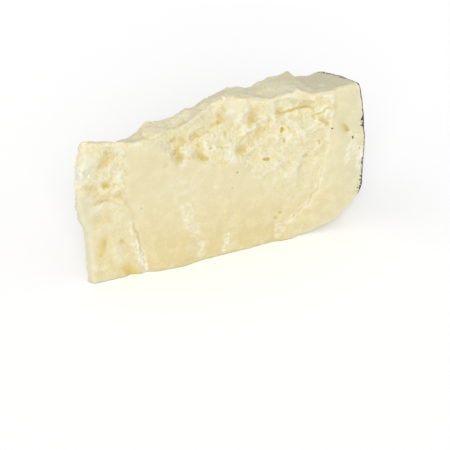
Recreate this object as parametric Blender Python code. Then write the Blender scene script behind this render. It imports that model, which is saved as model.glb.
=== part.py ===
"""A chunk of hard, aged sheep's-milk cheese, broken from a black-rinded wheel.

The chunk is a narrow wedge of the wheel, standing on its flat base. Its front and back are knife cuts
that nearly meet at the wheel's axis, its outer end carries the rind, and its tip, its top and the upper
half of its front are broken open into crags, hollows and shell-shaped ledges.

The wheel's frame is used while the chunk is shaped: the wheel's axis is Z, the front cut is the plane
y = 0, and x runs along that cut from the axis to the rind. The finished chunk is then moved so that
its origin is at the centre of its base. Lengths in the tables are in millimetres.
"""

import itertools
import math
from dataclasses import dataclass

import bmesh
import bpy
import numpy as np
from mathutils import Vector

MM = 0.001

# The wheel
WHEEL_RADIUS = 160.0 * MM  # from the axis to the fullest part of the rind
FULLEST_HEIGHT = 46.0 * MM  # where the rind bulges most
HEEL_CURVE = 150.0 * MM  # radius of the rind's bulge, seen from the side
CORNER_REACH = 42.0 * MM  # how far the rounded lower corner runs in along the base
CORNER_RISE = 27.0 * MM  # how far it runs up the rind
HALF_TURN = math.pi
TURN_STEPS = 60
CORNER_STEPS = 10
HEEL_STEPS = 8

# The two knife cuts, the top and the tip
CHUNK_HEIGHT = 84.0 * MM
CUTS_MEET = 30.0 * MM  # how far beyond the axis the planes of the two cuts meet
CUT_ANGLE = math.radians(13.55)  # between the front cut and the back cut
SKIRT = 6.0 * MM  # the block starts this far below the base, where it is trimmed at the end
TIP_REACH = -5.4 * MM  # x of the tip where it reaches furthest
TIP_TURN = math.radians(30.0)  # how far the tip's face is turned towards the front

# The mesh
VOXEL = 1.2 * MM
TRIANGLES = 10500
SLIVER = 0.02 * MM  # shorter edges are closed up
WELD = 0.001 * MM  # points closer than this are one
SOFTEN_PASSES = 8  # how often edges are rounded off
CUT_SOFTNESS = 0.18  # how far the knife's edges are rounded, where broken edges count as 1
NORMAL_PASSES = 10  # how often the directions of the relief are evened out
BASE_HOLD = 3.0 * MM  # the breaks fade out over this height, so that the base's edge stays straight

# The broken surface: (size of the broken faces, how far they stand in and out, salt, sharpness)
BREAKS = ((15.0 * MM, 2.4 * MM, 11, 18.0), (6.5 * MM, 1.3 * MM, 23, 16.0))
BREAK_LEAN = 1.6  # how much of a broken face's depth comes from its lean
BREAK_STEP = 1.4  # and how much from its own level
BREAK_MEAN = 0.35  # broken surfaces lie this much deeper than the cut, as a share of their reach
BREAK_DEEPEST = 0.18  # broken faces go no deeper into either side than this share of the thickness
WARP_SIZE = 9.0 * MM
WARP_REACH = 2.6 * MM
WARP_SALT = 5
BEND_SIZE = 4.5  # the hollows and ledges are bent a little by swells of this size, in millimetres
BEND_REACH = 1.3
BEND_SALT = 7

# The materials
PASTE_COLOUR = (0.80, 0.70, 0.42)
PASTE_ROUGHNESS = 0.55
RIND_COLOUR = (0.045, 0.044, 0.055)
RIND_ROUGHNESS = 0.6
RIND_LOWEST = 19.0 * MM  # the rind covers the outer end from this height up
RIND_FACING = 0.6  # and only where the surface faces outward by at least this cosine

# The features of the front are placed as they are seen on the plane of the cut, from the left and above:
# a point that lies deeper shows further left and higher, by these shares of its depth.
SEEN_ASIDE = -0.44
SEEN_ABOVE = 0.53


@dataclass(frozen=True)
class Patch:
    """A rounded region of the front where the surface is broken."""

    x: float
    z: float
    width: float
    height: float
    share: float  # 1 is fully broken, 0 is smoothly cut


@dataclass(frozen=True)
class Hollow:
    """A groove, dent or hump of the front."""

    points: tuple  # each with its x, z, half width and depth; the depth of a hump is less than 0


@dataclass(frozen=True)
class Ledge:
    """A step along a line across the front: the side to the right of its direction lies deeper."""

    points: tuple
    drop: float
    fade: float  # over this distance the lower side comes back up to the cut


# Knots of height and how far the tip stands in from its furthest reach
TIP_LINE = (
    (-6.0, 7.0), (1.0, 7.0), (10.0, 7.0), (20.0, 6.8), (30.0, 6.0), (40.0, 3.0), (48.0, 1.0),
    (62.0, 2.0), (75.0, 4.0), (80.0, 5.5), (84.0, 6.0),
)
TIP_SHAPED = 30.0  # the tip's shape has faded out at this x

# Knots of x and height along the top's front edge and its back edge
TOP_FRONT = (
    (-5.0, 83.0), (9.0, 80.3), (22.0, 79.2), (30.0, 78.6), (38.0, 77.0), (47.0, 78.2), (56.0, 81.6),
    (67.0, 86.0), (73.0, 88.0), (83.0, 88.5), (90.0, 88.5), (96.0, 86.0), (103.0, 84.0), (112.0, 84.5),
    (123.0, 86.3), (131.0, 84.0), (152.0, 86.5),
)
TOP_BACK = (
    (-5.0, 80.5), (8.0, 77.5), (16.0, 74.8), (28.0, 75.5), (32.0, 78.0), (37.0, 81.8), (50.0, 81.0),
    (58.0, 79.8), (66.0, 80.4), (77.0, 85.0), (84.0, 86.5), (95.0, 85.5), (106.0, 83.0), (116.0, 85.5),
    (128.0, 85.5), (135.0, 79.0), (146.0, 76.5), (151.0, 79.2), (155.0, 79.8),
)
TOP_SHAPED = (50.0, 82.0)  # heights between which the top's rise and fall comes in

# Knots of x and how far the front's upper edge is broken back from the cut
SET_BACK = (
    (40.0, 0.0), (50.0, 2.5), (62.0, 6.5), (71.0, 12.0), (81.0, 12.5), (92.0, 9.0),
    (100.0, 6.0), (112.0, 8.0), (124.0, 8.0), (130.0, 3.0), (138.0, 1.0), (150.0, 1.0),
)
SET_BACK_RISE = (58.0, 84.0)  # heights between which it leans back

# Knots of x and how far the front swells out at its foot, where the knife wandered
FOOT_SWELL = ((22.0, 0.0), (31.0, 1.0), (39.0, 2.8), (52.0, 2.8), (62.0, 0.6), (84.0, 0.0))
FOOT_RISE = (34.0, 3.0)  # heights between which the swelling comes in

# Knots of x and the height from which the back is broken too
BACK_BROKEN = (
    (0.0, 58.0), (22.0, 70.0), (52.0, 60.0), (78.0, 69.0), (108.0, 57.0), (132.0, 63.0), (152.0, 76.0),
)
BACK_BAND = 9.0  # over this height the broken back fades into the cut

# Regions of the front, as x, z, half width, half height and share
CRAG_PATCHES = (
    Patch(90.0, 78.0, 49.0, 24.0, 1.0),
    Patch(112.0, 57.0, 26.0, 18.0, 0.65),
    Patch(118.0, 40.0, 20.0, 16.0, 0.3),
    Patch(5.0, 65.0, 18.0, 20.0, 0.9),
    Patch(10.0, 24.0, 17.0, 26.0, 0.30),
    Patch(135.0, 14.0, 26.0, 16.0, 0.16),
)
PATCH_EDGE = 0.35  # width of a region's fading edge, as a share of its size

# Smoother places in them, where the share is taken off
CALM_PATCHES = (
    Patch(82.0, 86.0, 13.0, 11.0, 0.6),
    Patch(60.0, 84.0, 12.0, 8.0, 0.5),
    Patch(122.0, 87.0, 22.0, 5.5, 0.8),
    Patch(4.0, 73.0, 8.0, 6.0, 0.6),
    Patch(2.0, 60.0, 6.0, 5.0, 0.6),
)
CALM_CORE = 0.6  # a calm place is fully calm within this share of its size

# Knots of x and how broken the top is
TOP_BROKEN = (
    (-6.0, 0.3), (20.0, 0.4), (30.0, 0.8), (84.0, 0.8), (96.0, 0.6), (126.0, 0.45), (138.0, 0.15),
)

# How broken the other sides are, and the places or the cosines between which that changes
TIP_SHARE = (0.12, 0.55)  # low down and high up
TIP_RISE = (38.0, 48.0)
TIP_BAND = (9.0, 3.0)
BACK_SHARE = 0.7
RIND_SHARE = 0.1
RIND_REACH = (149.0, 152.0)
RIND_RISE = (16.0, 24.0)
FRONT_FACING = (0.15, 0.65)
TOP_FACING = (0.2, 0.6)
BACK_FACING = (0.3, 0.8)

# How far a hollow's slope reaches from its middle, and how far its floor does, as shares of its half width
HOLLOW_SLOPE = (1.15, 0.15)
HOLLOWS = (
    Hollow(((48.5, 75.5, 4.6, 1.6), (52.0, 73.5, 4.4, 2.0), (50.4, 67.0, 3.6, 2.4), (50.0, 62.0, 2.4, 1.6))),
    Hollow(((61.8, 69.0, 2.8, 1.6), (63.0, 64.0, 3.2, 2.6), (64.1, 59.5, 3.4, 2.8))),
    Hollow(((55.6, 71.5, 2.8, 1.2), (61.0, 73.5, 3.2, 1.6), (66.2, 75.9, 3.0, 1.4))),
    Hollow(((74.0, 87.0, 2.4, 1.4), (72.8, 80.5, 3.2, 2.6), (68.8, 77.3, 2.6, 1.4))),
    Hollow(((76.1, 72.0, 2.8, 1.4), (80.5, 78.0, 2.8, 1.2))),
    Hollow(((81.0, 85.0, 9.0, -1.6), (86.0, 80.0, 8.0, -1.8))),
    Hollow(((97.5, 86.5, 6.0, 1.8), (95.0, 82.0, 6.5, 2.8), (90.6, 75.5, 4.4, 3.0))),
    Hollow(((85.4, 59.5, 3.4, 2.8), (91.0, 64.2, 3.6, 2.4), (101.5, 73.5, 4.0, 1.4))),
    Hollow(((99.4, 52.4, 1.8, 1.2), (100.8, 52.5, 1.8, 1.2))),
    Hollow(((93.0, 52.0, 5.0, 0.8),)),
    Hollow(
        ((107.3, 78.0, 2.4, 1.4), (113.1, 78.8, 2.6, 2.0), (122.0, 79.6, 2.4, 1.8), (126.5, 77.5, 2.2, 1.2)),
    ),
    Hollow(((109.0, 72.0, 2.2, 1.0), (109.6, 68.4, 2.8, 2.2))),
    Hollow(((127.5, 72.6, 2.4, 0.7), (131.0, 70.6, 2.6, 0.8), (135.6, 66.2, 2.6, 0.9))),
    Hollow(((145.0, 64.5, 2.6, 1.2), (147.6, 60.5, 3.0, 1.6))),
    Hollow(((13.0, 74.5, 4.6, 1.0), (10.8, 69.8, 5.6, 2.4))),
    Hollow(((11.1, 57.2, 2.6, 2.4), (11.2, 55.6, 2.4, 2.4))),
    Hollow(((-2.6, 60.5, 2.6, 1.2), (1.5, 56.8, 2.8, 1.6), (6.0, 55.8, 2.6, 1.2))),
    Hollow(((2.5, 52.5, 3.4, 1.2), (6.5, 53.0, 3.0, 1.2))),
    Hollow(((3.0, 46.6, 2.6, 1.0), (7.0, 47.3, 2.4, 1.4), (12.0, 48.0, 2.6, 1.6), (18.0, 49.3, 2.8, 1.6))),
    Hollow(((0.0, 67.1, 3.2, 0.8), (2.5, 67.0, 2.8, 0.8))),
    Hollow(((-1.0, 63.5, 8.0, -1.6),)),
    Hollow(((4.0, 76.5, 7.0, -1.0),)),
    Hollow(((17.8, 62.5, 3.6, -1.4), (18.0, 58.5, 3.4, -1.4))),
    Hollow(((3.8, 38.0, 4.0, 0.9), (11.0, 36.0, 4.4, 0.7))),
    Hollow(((5.6, 24.5, 4.4, 1.3), (6.8, 17.0, 4.2, 1.3))),
    Hollow(((17.7, 21.7, 2.6, 1.0),)),
    Hollow(((20.0, 5.0, 3.6, 1.2), (21.5, 0.0, 4.2, 1.8))),
    Hollow(((109.5, 44.0, 5.0, 0.8),)),
    Hollow(((121.0, 38.5, 4.4, 0.8), (121.5, 32.0, 4.0, 0.7))),
)

# Ledges of the front, as points of x and z
LEDGES = (
    Ledge(
        (
            (136.0, 53.0), (134.5, 38.0), (131.0, 27.5), (128.0, 21.9), (118.0, 13.7), (113.0, 10.7),
            (108.0, 0.0),
        ),
        1.3,
        22.0,
    ),
    Ledge(((27.0, 0.0), (27.0, 12.0), (25.0, 26.0), (21.0, 42.0)), 1.2, 30.0),
    Ledge(((139.0, 66.0), (139.5, 88.0)), 1.2, 16.0),
)
LEDGE_EDGE = 1.8  # how wide a ledge's step is
DEEPEST = 0.5  # the front lies no deeper than this share of the chunk's thickness

# The odd multipliers and shifts of the hash that numbers the cells of the noise
CELL_PRIMES = (73856093, 19349663, 83492791)
SALT_PRIME = 668265263
MIXERS = ((15, 2246822519), (13, 3266489917))
LAST_SHIFT = 16


def smooth_step(value, low, high):
    """0 below low, 1 above high and a smooth rise between; low may be the larger of the two."""
    share = np.clip((value - low) / (high - low), 0.0, 1.0)
    return share * share * (3.0 - 2.0 * share)


def eased_line(position, knots):
    """The value at each position of a line that eases from one knot to the next."""
    places, values = np.transpose(knots)
    right = np.clip(np.searchsorted(places, position), 1, len(places) - 1)
    share = smooth_step(position, places[right - 1], places[right])
    return values[right - 1] + share * (values[right] - values[right - 1])


def cell_numbers(cells, salt):
    """Three repeatable numbers from 0 to 1 for each integer cell."""
    mixed = np.full(len(cells), salt * SALT_PRIME % 2**32, dtype=np.uint32)
    for axis, prime in enumerate(CELL_PRIMES):
        mixed ^= cells[:, axis].astype(np.int64).astype(np.uint32) * np.uint32(prime)
    numbers = []
    for _ in range(3):
        for shift, factor in MIXERS:
            mixed = (mixed ^ (mixed >> np.uint32(shift))) * np.uint32(factor)
        mixed = mixed ^ (mixed >> np.uint32(LAST_SHIFT))
        numbers.append(mixed / 2.0**32)
    return np.stack(numbers, axis=1)


def drift(points, size, salt):
    """Smooth three-channel noise from -1 to 1, whose swells are about `size` across."""
    grid = points / size
    corner = np.floor(grid)
    share = smooth_step(grid - corner, 0.0, 1.0)
    total = np.zeros_like(points)
    for step in itertools.product((0, 1), repeat=3):
        weight = np.where(np.array(step) == 1, share, 1.0 - share).prod(axis=1)
        total += weight[:, None] * cell_numbers(corner + step, salt)
    return 2.0 * total - 1.0


def broken_faces(points, size, salt, sharpness):
    """Depth, from about -1 to 1, of a surface broken into leaning faces about `size` across."""
    grid = points / size
    home = np.floor(grid)
    total = np.zeros(len(points))
    weights = np.zeros(len(points))
    for step in itertools.product((-1, 0, 1), repeat=3):
        cell = home + step
        offset = grid - cell - cell_numbers(cell, salt)
        weight = np.exp(-sharpness * (offset**2).sum(axis=1))
        own = cell_numbers(cell, salt + 1) - 0.5
        level = cell_numbers(cell, salt + 2)[:, 0] - 0.5
        total += weight * (BREAK_LEAN * (offset * own).sum(axis=1) + BREAK_STEP * level)
        weights += weight
    return total / weights


def seen_on_cut(points):
    """Where each point shows on the plane of the front cut, as x and z in millimetres."""
    x, y, z = points.T / MM
    return x + SEEN_ASIDE * y, z + SEEN_ABOVE * y


def facing_front(normals):
    """1 where the surface faces the front, 0 where it faces another way."""
    return smooth_step(-normals[:, 1], *FRONT_FACING)


def crag_share(points, normals):
    """How broken the surface is at each point: 1 for crags, 0 for a knife cut."""
    x, y, z = points.T / MM
    seen_x, seen_z = seen_on_cut(points)
    share = np.zeros(len(points))
    for patch in CRAG_PATCHES:
        away = np.hypot((seen_x - patch.x) / patch.width, (seen_z - patch.z) / patch.height)
        inside = smooth_step(away, 1.0 + PATCH_EDGE / 2, 1.0 - PATCH_EDGE / 2)
        share = np.maximum(share, patch.share * inside * facing_front(normals))
    for calm in CALM_PATCHES:
        away = np.hypot((seen_x - calm.x) / calm.width, (seen_z - calm.z) / calm.height)
        share *= 1.0 - calm.share * smooth_step(away, 1.0, CALM_CORE)
    top = eased_line(x, TOP_BROKEN) * smooth_step(normals[:, 2], *TOP_FACING)
    low, high = TIP_SHARE
    tip = (low + (high - low) * smooth_step(z, *TIP_RISE)) * smooth_step(x, *TIP_BAND)
    above = z - eased_line(x, BACK_BROKEN)
    back = BACK_SHARE * smooth_step(above, 0.0, BACK_BAND) * smooth_step(normals[:, 1], *BACK_FACING)
    share = np.maximum.reduce((share, top, tip, back))
    rind = smooth_step(np.hypot(x, y), *RIND_REACH) * smooth_step(z, *RIND_RISE)
    return share * (1.0 - (1.0 - RIND_SHARE) * rind)


def hollow_depth(x, z):
    """Depth of the named hollows and humps, at places seen on the plane of the cut."""
    flat = np.stack((x, z), axis=1)
    total = np.zeros(len(x))
    for hollow in HOLLOWS:
        deepest = np.zeros(len(x))
        for start, end in zip(hollow.points, hollow.points[1:] or hollow.points):
            run = np.subtract(end, start)
            offset = flat - start[:2]
            length = run[:2] @ run[:2]
            share = np.clip(offset @ run[:2] / length, 0.0, 1.0) if length else np.zeros(len(x))
            width, depth = (start[axis] + share * run[axis] for axis in (2, 3))
            gap = np.hypot(*(offset - share[:, None] * run[:2]).T)
            depth = depth * smooth_step(gap / width, *HOLLOW_SLOPE)
            deepest = np.where(np.abs(depth) > np.abs(deepest), depth, deepest)
        total += deepest
    return total


def ledge_depth(x, z):
    """Depth of the steps that shell-shaped breaks leave, at places seen on the plane of the cut."""
    flat = np.stack((x, z), axis=1)
    depth = np.zeros(len(x))
    for ledge in LEDGES:
        nearest = np.full(len(x), np.inf)
        side = np.zeros(len(x))
        for start, end in zip(ledge.points, ledge.points[1:]):
            run = np.subtract(end, start)
            offset = flat - start
            turn = run[1] * offset[:, 0] - run[0] * offset[:, 1]
            share = np.clip(offset @ run / (run @ run), 0.0, 1.0)
            gap = np.hypot(*(offset - share[:, None] * run).T)
            side = np.where(gap < nearest, np.sign(turn), side)
            nearest = np.minimum(nearest, gap)
        signed = nearest * side
        step = smooth_step(signed, -LEDGE_EDGE / 2, LEDGE_EDGE) * smooth_step(signed, ledge.fade, LEDGE_EDGE)
        depth += ledge.drop * step
    return depth


def front_depth(x, z):
    """How far the front lies behind the plane of the cut at each x and z, in millimetres."""
    places = np.stack((x, np.zeros_like(x), z), axis=1)
    x, _, z = (places + WARP_REACH / MM * drift(places, WARP_SIZE / MM, WARP_SALT)).T
    back = eased_line(x, SET_BACK) * smooth_step(z, *SET_BACK_RISE)
    swell = eased_line(x, FOOT_SWELL) * smooth_step(z, *FOOT_RISE)
    x, _, z = (places + BEND_REACH * drift(places, BEND_SIZE, BEND_SALT)).T
    seen = (x + SEEN_ASIDE * back, z + SEEN_ABOVE * back)
    return back + hollow_depth(*seen) + ledge_depth(*seen) - swell


def thickness_at(x):
    """Thickness of the wedge between its two knife cuts, in millimetres as x is."""
    return (x + CUTS_MEET / MM) * math.tan(CUT_ANGLE)


def shape_block(points):
    """Sets the front back where it is broken and gives the block its uneven top and tip."""
    x, y, z = points.T / MM
    aside = eased_line(z, TIP_LINE) * smooth_step(x, TIP_SHAPED, TIP_REACH / MM)
    thickness = thickness_at(x)
    behind = np.clip(y / thickness, 0.0, 1.0)
    deepest = DEEPEST * thickness
    back = (1.0 - behind) * deepest * np.tanh(front_depth(x, z) / deepest)
    top = (1.0 - behind) * eased_line(x, TOP_FRONT) + behind * eased_line(x, TOP_BACK)
    rise = (top - CHUNK_HEIGHT / MM) * smooth_step(z, *TOP_SHAPED)
    return points + np.stack((aside, back, rise), axis=1) * MM


def break_depth(points, normals):
    """How far the broken faces lie below each point of the surface, in metres."""
    bent = points + WARP_REACH * drift(points, WARP_SIZE, WARP_SALT)
    depth = np.zeros(len(points))
    for size, reach, salt, sharpness in BREAKS:
        depth += reach * (broken_faces(bent, size, salt, sharpness) + BREAK_MEAN)
    deepest = BREAK_DEEPEST * thickness_at(points[:, 0] / MM) * MM
    deepest = deepest / np.maximum(np.abs(normals[:, 1]), BREAK_DEEPEST)
    depth = deepest * np.tanh(depth * crag_share(bent, normals) / deepest)
    return depth * smooth_step(points[:, 2], 0.0, BASE_HOLD)


def wheel_profile():
    """The wheel's outline from the axis out below the base, up the rind and back, as (radius, height)."""
    straight = WHEEL_RADIUS - CORNER_REACH
    outline = [(0.0, -SKIRT), (straight, -SKIRT)]
    for step in range(CORNER_STEPS + 1):
        turn = 0.5 * math.pi * step / CORNER_STEPS
        radius = straight + CORNER_REACH * math.sin(turn)
        outline.append((radius, CORNER_RISE * (1.0 - math.cos(turn))))
    for step in range(1, HEEL_STEPS + 1):
        height = CORNER_RISE + (CHUNK_HEIGHT - CORNER_RISE) * step / HEEL_STEPS
        above = max(height - FULLEST_HEIGHT, 0.0)
        outline.append((WHEEL_RADIUS - above**2 / (2.0 * HEEL_CURVE), height))
    outline.append((0.0, CHUNK_HEIGHT))
    return outline


def cut_away(solid, point, normal):
    """Cuts the solid by a plane, drops what the normal points to and closes the cut."""
    parts = solid.verts[:] + solid.edges[:] + solid.faces[:]
    cut = bmesh.ops.bisect_plane(
        solid, geom=parts, dist=WELD, plane_co=point, plane_no=normal, clear_outer=True
    )
    rim = [item for item in cut["geom_cut"] if isinstance(item, bmesh.types.BMEdge)]
    bmesh.ops.holes_fill(solid, edges=rim, sides=0)


def ordered_mesh(solid, name):
    """A mesh of the solid with its points and faces in order of place, so that each run gives the same."""
    points = sorted(solid.verts, key=lambda point: tuple(point.co))
    numbers = {point: number for number, point in enumerate(points)}
    rings = []
    for face in solid.faces:
        ring = [numbers[point] for point in face.verts]
        first = ring.index(min(ring))
        rings.append(ring[first:] + ring[:first])
    mesh = bpy.data.meshes.new(name)
    mesh.from_pydata([point.co for point in points], [], sorted(rings))
    return mesh


def cut_block():
    """The wedge before it is broken: half a wheel, turned and then cut by the knife and at the tip."""
    solid = bmesh.new()
    rim = [solid.verts.new((radius, 0.0, height)) for radius, height in wheel_profile()]
    rim_edges = [solid.edges.new(pair) for pair in zip(rim, rim[1:] + rim[:1])]
    face = bmesh.ops.contextual_create(solid, geom=rim_edges)["faces"]
    bmesh.ops.spin(
        solid,
        geom=face + rim_edges + rim,
        cent=(0.0, 0.0, 0.0),
        axis=(0.0, 0.0, 1.0),
        angle=HALF_TURN,
        steps=TURN_STEPS,
    )
    bmesh.ops.remove_doubles(solid, verts=solid.verts[:], dist=WELD)
    back = Vector((-math.sin(CUT_ANGLE), math.cos(CUT_ANGLE), 0.0))
    cut_away(solid, Vector((-CUTS_MEET, 0.0, 0.0)), back)
    tip = Vector((-math.cos(TIP_TURN), -math.sin(TIP_TURN), 0.0))
    cut_away(solid, Vector((TIP_REACH, 0.0, 0.0)), tip)
    bmesh.ops.recalc_face_normals(solid, faces=solid.faces[:])
    mesh = ordered_mesh(solid, "cut_block")
    solid.free()
    return mesh


def evaluated_mesh(obj):
    """A copy of the object's mesh with its modifiers applied."""
    graph = bpy.context.evaluated_depsgraph_get()
    return bpy.data.meshes.new_from_object(obj.evaluated_get(graph))


def read_vectors(collection, name):
    """Reads a three-number property of every item into an array."""
    values = np.empty(len(collection) * 3)
    collection.foreach_get(name, values)
    return values.reshape(-1, 3)


def write_points(mesh, points):
    """Moves the mesh's points."""
    mesh.vertices.foreach_set("co", points.ravel())
    mesh.update()


def neighbour_mean(mesh, values, passes, share=1.0):
    """Values averaged again and again with those of the neighbouring points, by `share` of the way."""
    ends = np.empty(len(mesh.edges) * 2, dtype=np.int64)
    mesh.edges.foreach_get("vertices", ends)
    first, second = ends.reshape(-1, 2).T
    counts = 1.0 + np.bincount(ends, minlength=len(values))[:, None]
    for _ in range(passes):
        total = values.copy()
        np.add.at(total, first, values[second])
        np.add.at(total, second, values[first])
        values = values + share * (total / counts - values)
    return values


def soft_normals(mesh):
    """Vertex normals averaged over their neighbours, so that the relief turns smoothly at the edges."""
    normals = neighbour_mean(mesh, read_vectors(mesh.vertex_normals, "vector"), NORMAL_PASSES)
    return normals / np.linalg.norm(normals, axis=1, keepdims=True)


def remesh(obj):
    """Gives the object an even mesh of small faces, without overlaps."""
    even = obj.modifiers.new("even", "REMESH")
    even.mode = "VOXEL"
    even.voxel_size = VOXEL
    mesh = evaluated_mesh(obj)
    obj.modifiers.remove(even)
    obj.data = mesh


def break_open(obj):
    """Rounds the block's edges and moves its surface to the broken one."""
    remesh(obj)
    mesh = obj.data
    points = read_vectors(mesh.vertices, "co")
    share = np.maximum(crag_share(points, soft_normals(mesh)), CUT_SOFTNESS)
    points = neighbour_mean(mesh, points, SOFTEN_PASSES, share[:, None])
    write_points(mesh, shape_block(points))
    points = read_vectors(mesh.vertices, "co")
    normals = soft_normals(mesh)
    write_points(mesh, points - normals * break_depth(points, normals)[:, None])
    remesh(obj)


def simplify(obj):
    """Brings the broken surface down to the triangles that carry its shape."""
    fewer = obj.modifiers.new("fewer", "DECIMATE")
    obj.data.calc_loop_triangles()
    fewer.ratio = TRIANGLES / len(obj.data.loop_triangles)
    fewer.use_collapse_triangulate = True
    mesh = evaluated_mesh(obj)
    obj.modifiers.remove(fewer)
    obj.data = mesh


def trim_base(obj):
    """Cuts the skirt off along the flat base."""
    solid = bmesh.new()
    solid.from_mesh(obj.data)
    cut_away(solid, Vector((0.0, 0.0, 0.0)), Vector((0.0, 0.0, -1.0)))
    bmesh.ops.dissolve_degenerate(solid, edges=solid.edges[:], dist=SLIVER)
    bmesh.ops.triangulate(solid, faces=solid.faces[:])
    solid.to_mesh(obj.data)
    solid.free()


def lay_rind(obj):
    """Gives the outer end of the wheel the rind's material."""
    obj.data.materials.append(material("paste", PASTE_COLOUR, PASTE_ROUGHNESS))
    obj.data.materials.append(material("rind", RIND_COLOUR, RIND_ROUGHNESS))
    centres = read_vectors(obj.data.polygons, "center")
    normals = read_vectors(obj.data.polygons, "normal")
    outward = centres[:, :2] / np.linalg.norm(centres[:, :2], axis=1, keepdims=True)
    facing = (normals[:, :2] * outward).sum(axis=1) > RIND_FACING
    outer = np.hypot(centres[:, 0], centres[:, 1]) > WHEEL_RADIUS - CORNER_RISE
    rind = facing & outer & (centres[:, 2] > RIND_LOWEST)
    obj.data.polygons.foreach_set("material_index", rind.astype(np.int32))


def stand_on_base(obj):
    """Moves the mesh so that the origin is at the centre of its base."""
    points = read_vectors(obj.data.vertices, "co")
    points[points[:, 2] < SLIVER, 2] = 0.0
    low, high = points.min(axis=0), points.max(axis=0)
    middle = np.array(((low[0] + high[0]) / 2, (low[1] + high[1]) / 2, 0.0))
    write_points(obj.data, points - middle)


def material(name, colour, roughness):
    """A plain Principled material."""
    made = bpy.data.materials.new(name)
    made.use_nodes = True
    shader = made.node_tree.nodes["Principled BSDF"]
    shader.inputs["Base Color"].default_value = (*colour, 1.0)
    shader.inputs["Roughness"].default_value = roughness
    shader.inputs["Metallic"].default_value = 0.0
    return made


def main():
    for obj in list(bpy.data.objects):
        bpy.data.objects.remove(obj)
    chunk = bpy.data.objects.new("cheese_chunk", cut_block())
    bpy.context.scene.collection.objects.link(chunk)
    break_open(chunk)
    simplify(chunk)
    trim_base(chunk)
    lay_rind(chunk)
    stand_on_base(chunk)


main()
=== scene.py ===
"""The looks of a chunk of hard, aged sheep's-milk cheese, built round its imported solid.

The chunk is carved as its solid was, from the same knife cuts, hollows and ledges, and is then broken
further on a mesh of half a millimetre: into small leaning faces, rounded curds, eyes and cracks. The
paste and the rind are two materials on that one mesh. Loose crumbs that cling to it are a second piece.

While the chunk is carved it stands in the wheel's frame: the wheel's axis is Z, the front cut is the
plane y = 0, and x runs along that cut from the axis to the rind. Lengths in the tables are in
millimetres of that frame. The finished pieces are in the frame of the solid.
"""

import itertools
import logging
import math
from collections.abc import Iterator
from dataclasses import dataclass
from enum import Enum

import bmesh
import bpy
import numpy as np
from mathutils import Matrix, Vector


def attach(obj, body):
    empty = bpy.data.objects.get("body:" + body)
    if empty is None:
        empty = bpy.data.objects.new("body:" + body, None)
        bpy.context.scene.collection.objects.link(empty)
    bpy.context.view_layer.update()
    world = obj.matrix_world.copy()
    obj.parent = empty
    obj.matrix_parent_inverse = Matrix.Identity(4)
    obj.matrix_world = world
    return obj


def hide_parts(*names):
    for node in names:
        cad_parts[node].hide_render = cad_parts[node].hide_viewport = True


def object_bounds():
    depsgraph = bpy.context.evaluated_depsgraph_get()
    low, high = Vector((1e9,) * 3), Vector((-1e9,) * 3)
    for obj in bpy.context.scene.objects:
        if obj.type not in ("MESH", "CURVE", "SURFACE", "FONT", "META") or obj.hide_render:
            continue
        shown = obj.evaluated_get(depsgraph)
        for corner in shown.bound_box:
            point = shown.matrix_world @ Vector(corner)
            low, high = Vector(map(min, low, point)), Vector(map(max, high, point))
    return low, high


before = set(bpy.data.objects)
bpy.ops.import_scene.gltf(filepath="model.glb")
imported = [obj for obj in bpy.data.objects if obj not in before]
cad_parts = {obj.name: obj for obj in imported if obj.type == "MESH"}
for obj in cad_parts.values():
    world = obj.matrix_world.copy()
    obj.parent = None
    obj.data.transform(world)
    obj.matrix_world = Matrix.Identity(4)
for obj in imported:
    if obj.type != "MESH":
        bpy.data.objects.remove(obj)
solid_box = [list(corner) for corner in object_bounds()]

LOG = logging.getLogger("cheese")
MM = 0.001
TINY = 0.001 * MM  # points nearer to each other than this are one
Array = np.ndarray
Socket = bpy.types.NodeSocket

# Where the centre of the chunk's base lies in the wheel's frame
CENTRE = np.array((77.5203, 20.5747, 0.0)) * MM

# The odd multipliers and shifts of the hash that numbers the cells of the noise
CELL_PRIMES = (73856093, 19349663, 83492791)
SALT_PRIME = 668265263
MIXERS = ((15, 2246822519), (13, 3266489917))
LAST_SHIFT = 16

# The features of the front are placed as they are seen on the plane of the cut, from the left and above:
# a point that lies deeper shows further left and higher, by these shares of its depth.
SEEN_ASIDE = -0.44
SEEN_ABOVE = 0.53


class Spot(Enum):
    """The values that the mesh carries for its materials, by the name of their attribute."""

    CRAG = "crag"
    HOLLOW = "hollow"
    # Depth in dents and hollows, where painted shade makes the paste darker and yellower; below 0 on humps
    CRUMBLY = "crumbly"
    BENEATH = "beneath"
    LINE = "line"
    # Where painted shade lies in holes, cracks and along ledges
    PAINTED_SHADE = "painted_shade"
    SPECK = "speck"
    # How far the surface faces up, which carries the top's painted light and shade
    UPWARD = "upward"
    # How far the top is painted in shade rather than in light, darker and greyer
    TOP_SHADE = "dry"
    PALE = "pale"


def smooth_step(value: Array, low: float, high: float) -> Array:
    """Rises smoothly from 0 to 1.

    Args:
        value: What is measured.
        low: Where the result is 0. It may be the larger of the two.
        high: Where the result is 1.

    Returns:
        The risen share at each value.
    """
    share = np.clip((value - low) / (high - low), 0.0, 1.0)
    return share * share * (3.0 - 2.0 * share)


def eased_line(position: Array, knots: tuple) -> Array:
    """Follows a line that eases from one knot to the next.

    Args:
        position: Where the line is read.
        knots: Pairs of place and value.

    Returns:
        The line's value at each position.
    """
    places, values = np.transpose(knots)
    right = np.clip(np.searchsorted(places, position), 1, len(places) - 1)
    share = smooth_step(position, places[right - 1], places[right])
    return values[right - 1] + share * (values[right] - values[right - 1])


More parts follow.
